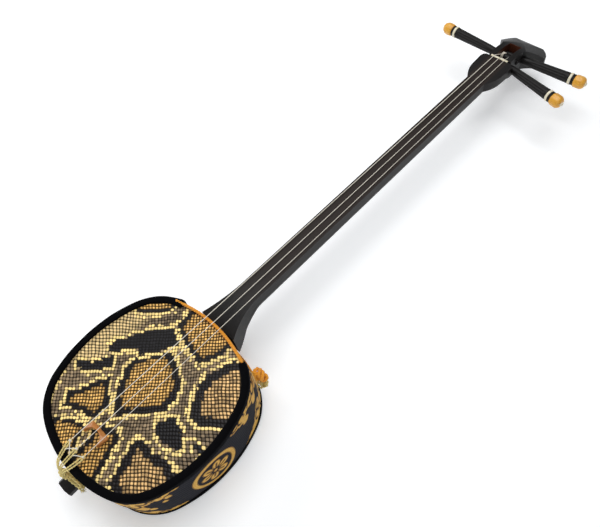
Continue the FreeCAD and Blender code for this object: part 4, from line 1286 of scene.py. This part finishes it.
knot_low, knot_high = box_mm("tie_knot")
tie_knot, tie_size = (knot_low + knot_high) / 2, (knot_high[2] - knot_low[2]) / 2
tie_bow = add_ropes("tie_cord_knot", [
    knot_path(tie_knot, tie_size * 0.82, 0.3), knot_path(tie_knot + [1.0, 0.6, 0.8], tie_size * 0.74, 1.2),
    knot_path(tie_knot + [-1.4, 0.8, -1.2], tie_size * 0.7, 2.1)], 1.6, **hard_laid)
dress(tie_bow, "lute", "orange_cord", "tie_knot")


def tuft(middle, reach, count, seed):
    """A bunch of small loops: each goes out of the middle, bends round and comes back."""
    rng = np.random.default_rng(seed)
    tables = []
    for _ in range(count):
        heading = unit(rng.normal(0, 1, 3) * (1, 0.8, 1) + (0.25, 0.2, -0.7))
        across = unit(np.cross(heading, rng.normal(0, 1, 3)))
        far, side = middle + heading * reach * rng.uniform(0.75, 1.0), across * reach * 0.28
        path = [middle, middle + heading * reach * 0.5 + side, far + side * 0.8, far - side * 0.8,
                middle + heading * reach * 0.5 - side, middle - across * 0.8]
        tables.append(tube(route([tuple(p) for p in path], 0.5 * mm), 0.55 * mm, (0.31, 0.5, 0.8), 7))
    return tables


tassel_middle = sum(box_mm("tie_tassel")) / 2
bunch = add_tables("tie_cord_loops", tuft(tassel_middle + [0, 0, 2.5], 6.2, 26, 8), yellow)
dress(bunch, "lute", "orange_cord", "tie_tassel")

# %% [markdown]
# ## Wood and backing under the cover
#
# Where the cover is open for the neck, the folded skin, the wooden side and the cut edge of the
# stiff backing show. They keep their shapes and take plain, honest finishes: straight-grained wood and
# a coarse woven backing.

# %% Hidden wood and backing
def make_plain_wood():
    finish = Finish("frame_wood", {"Specular IOR Level": 0.4})
    rings = finish.noise(1.0, 3.0, finish.stretched((60, 60, 420)))
    grain = finish.noise(1.0, 4.0, finish.stretched((90, 90, 2400)))
    colour = finish.blend(rings * 0.6 + grain * 0.4, paint(176, 132, 84), paint(120, 82, 46))
    finish.feed("Base Color", colour)
    finish.feed("Roughness", 0.6 + grain * 0.2)
    return finish.bump(grain, 0.12 * mm, 0.5)


def make_backing():
    finish = Finish("backing", {"Sheen Weight": 0.1, "Specular IOR Level": 0.3})
    x, y, z = finish.split(finish.place(), 3)
    weave = ((x + y) * 4400).wave() * (z * 4400).wave() * 0.5 + 0.5
    worn = finish.noise(300.0, 2.0)
    finish.feed("Base Color", finish.blend(weave * 0.6 + worn * 0.3, paint(22, 22, 30), paint(58, 58, 70)))
    finish.feed("Roughness", 0.8 + worn * 0.15)
    return finish.bump(weave, 0.15 * mm, 0.6)


plain_wood, backing = make_plain_wood(), make_backing()
for side in ("top", "bottom", "left", "right"):
    repaint(f"frame_{side}", plain_wood)
repaint("cover_core", backing)
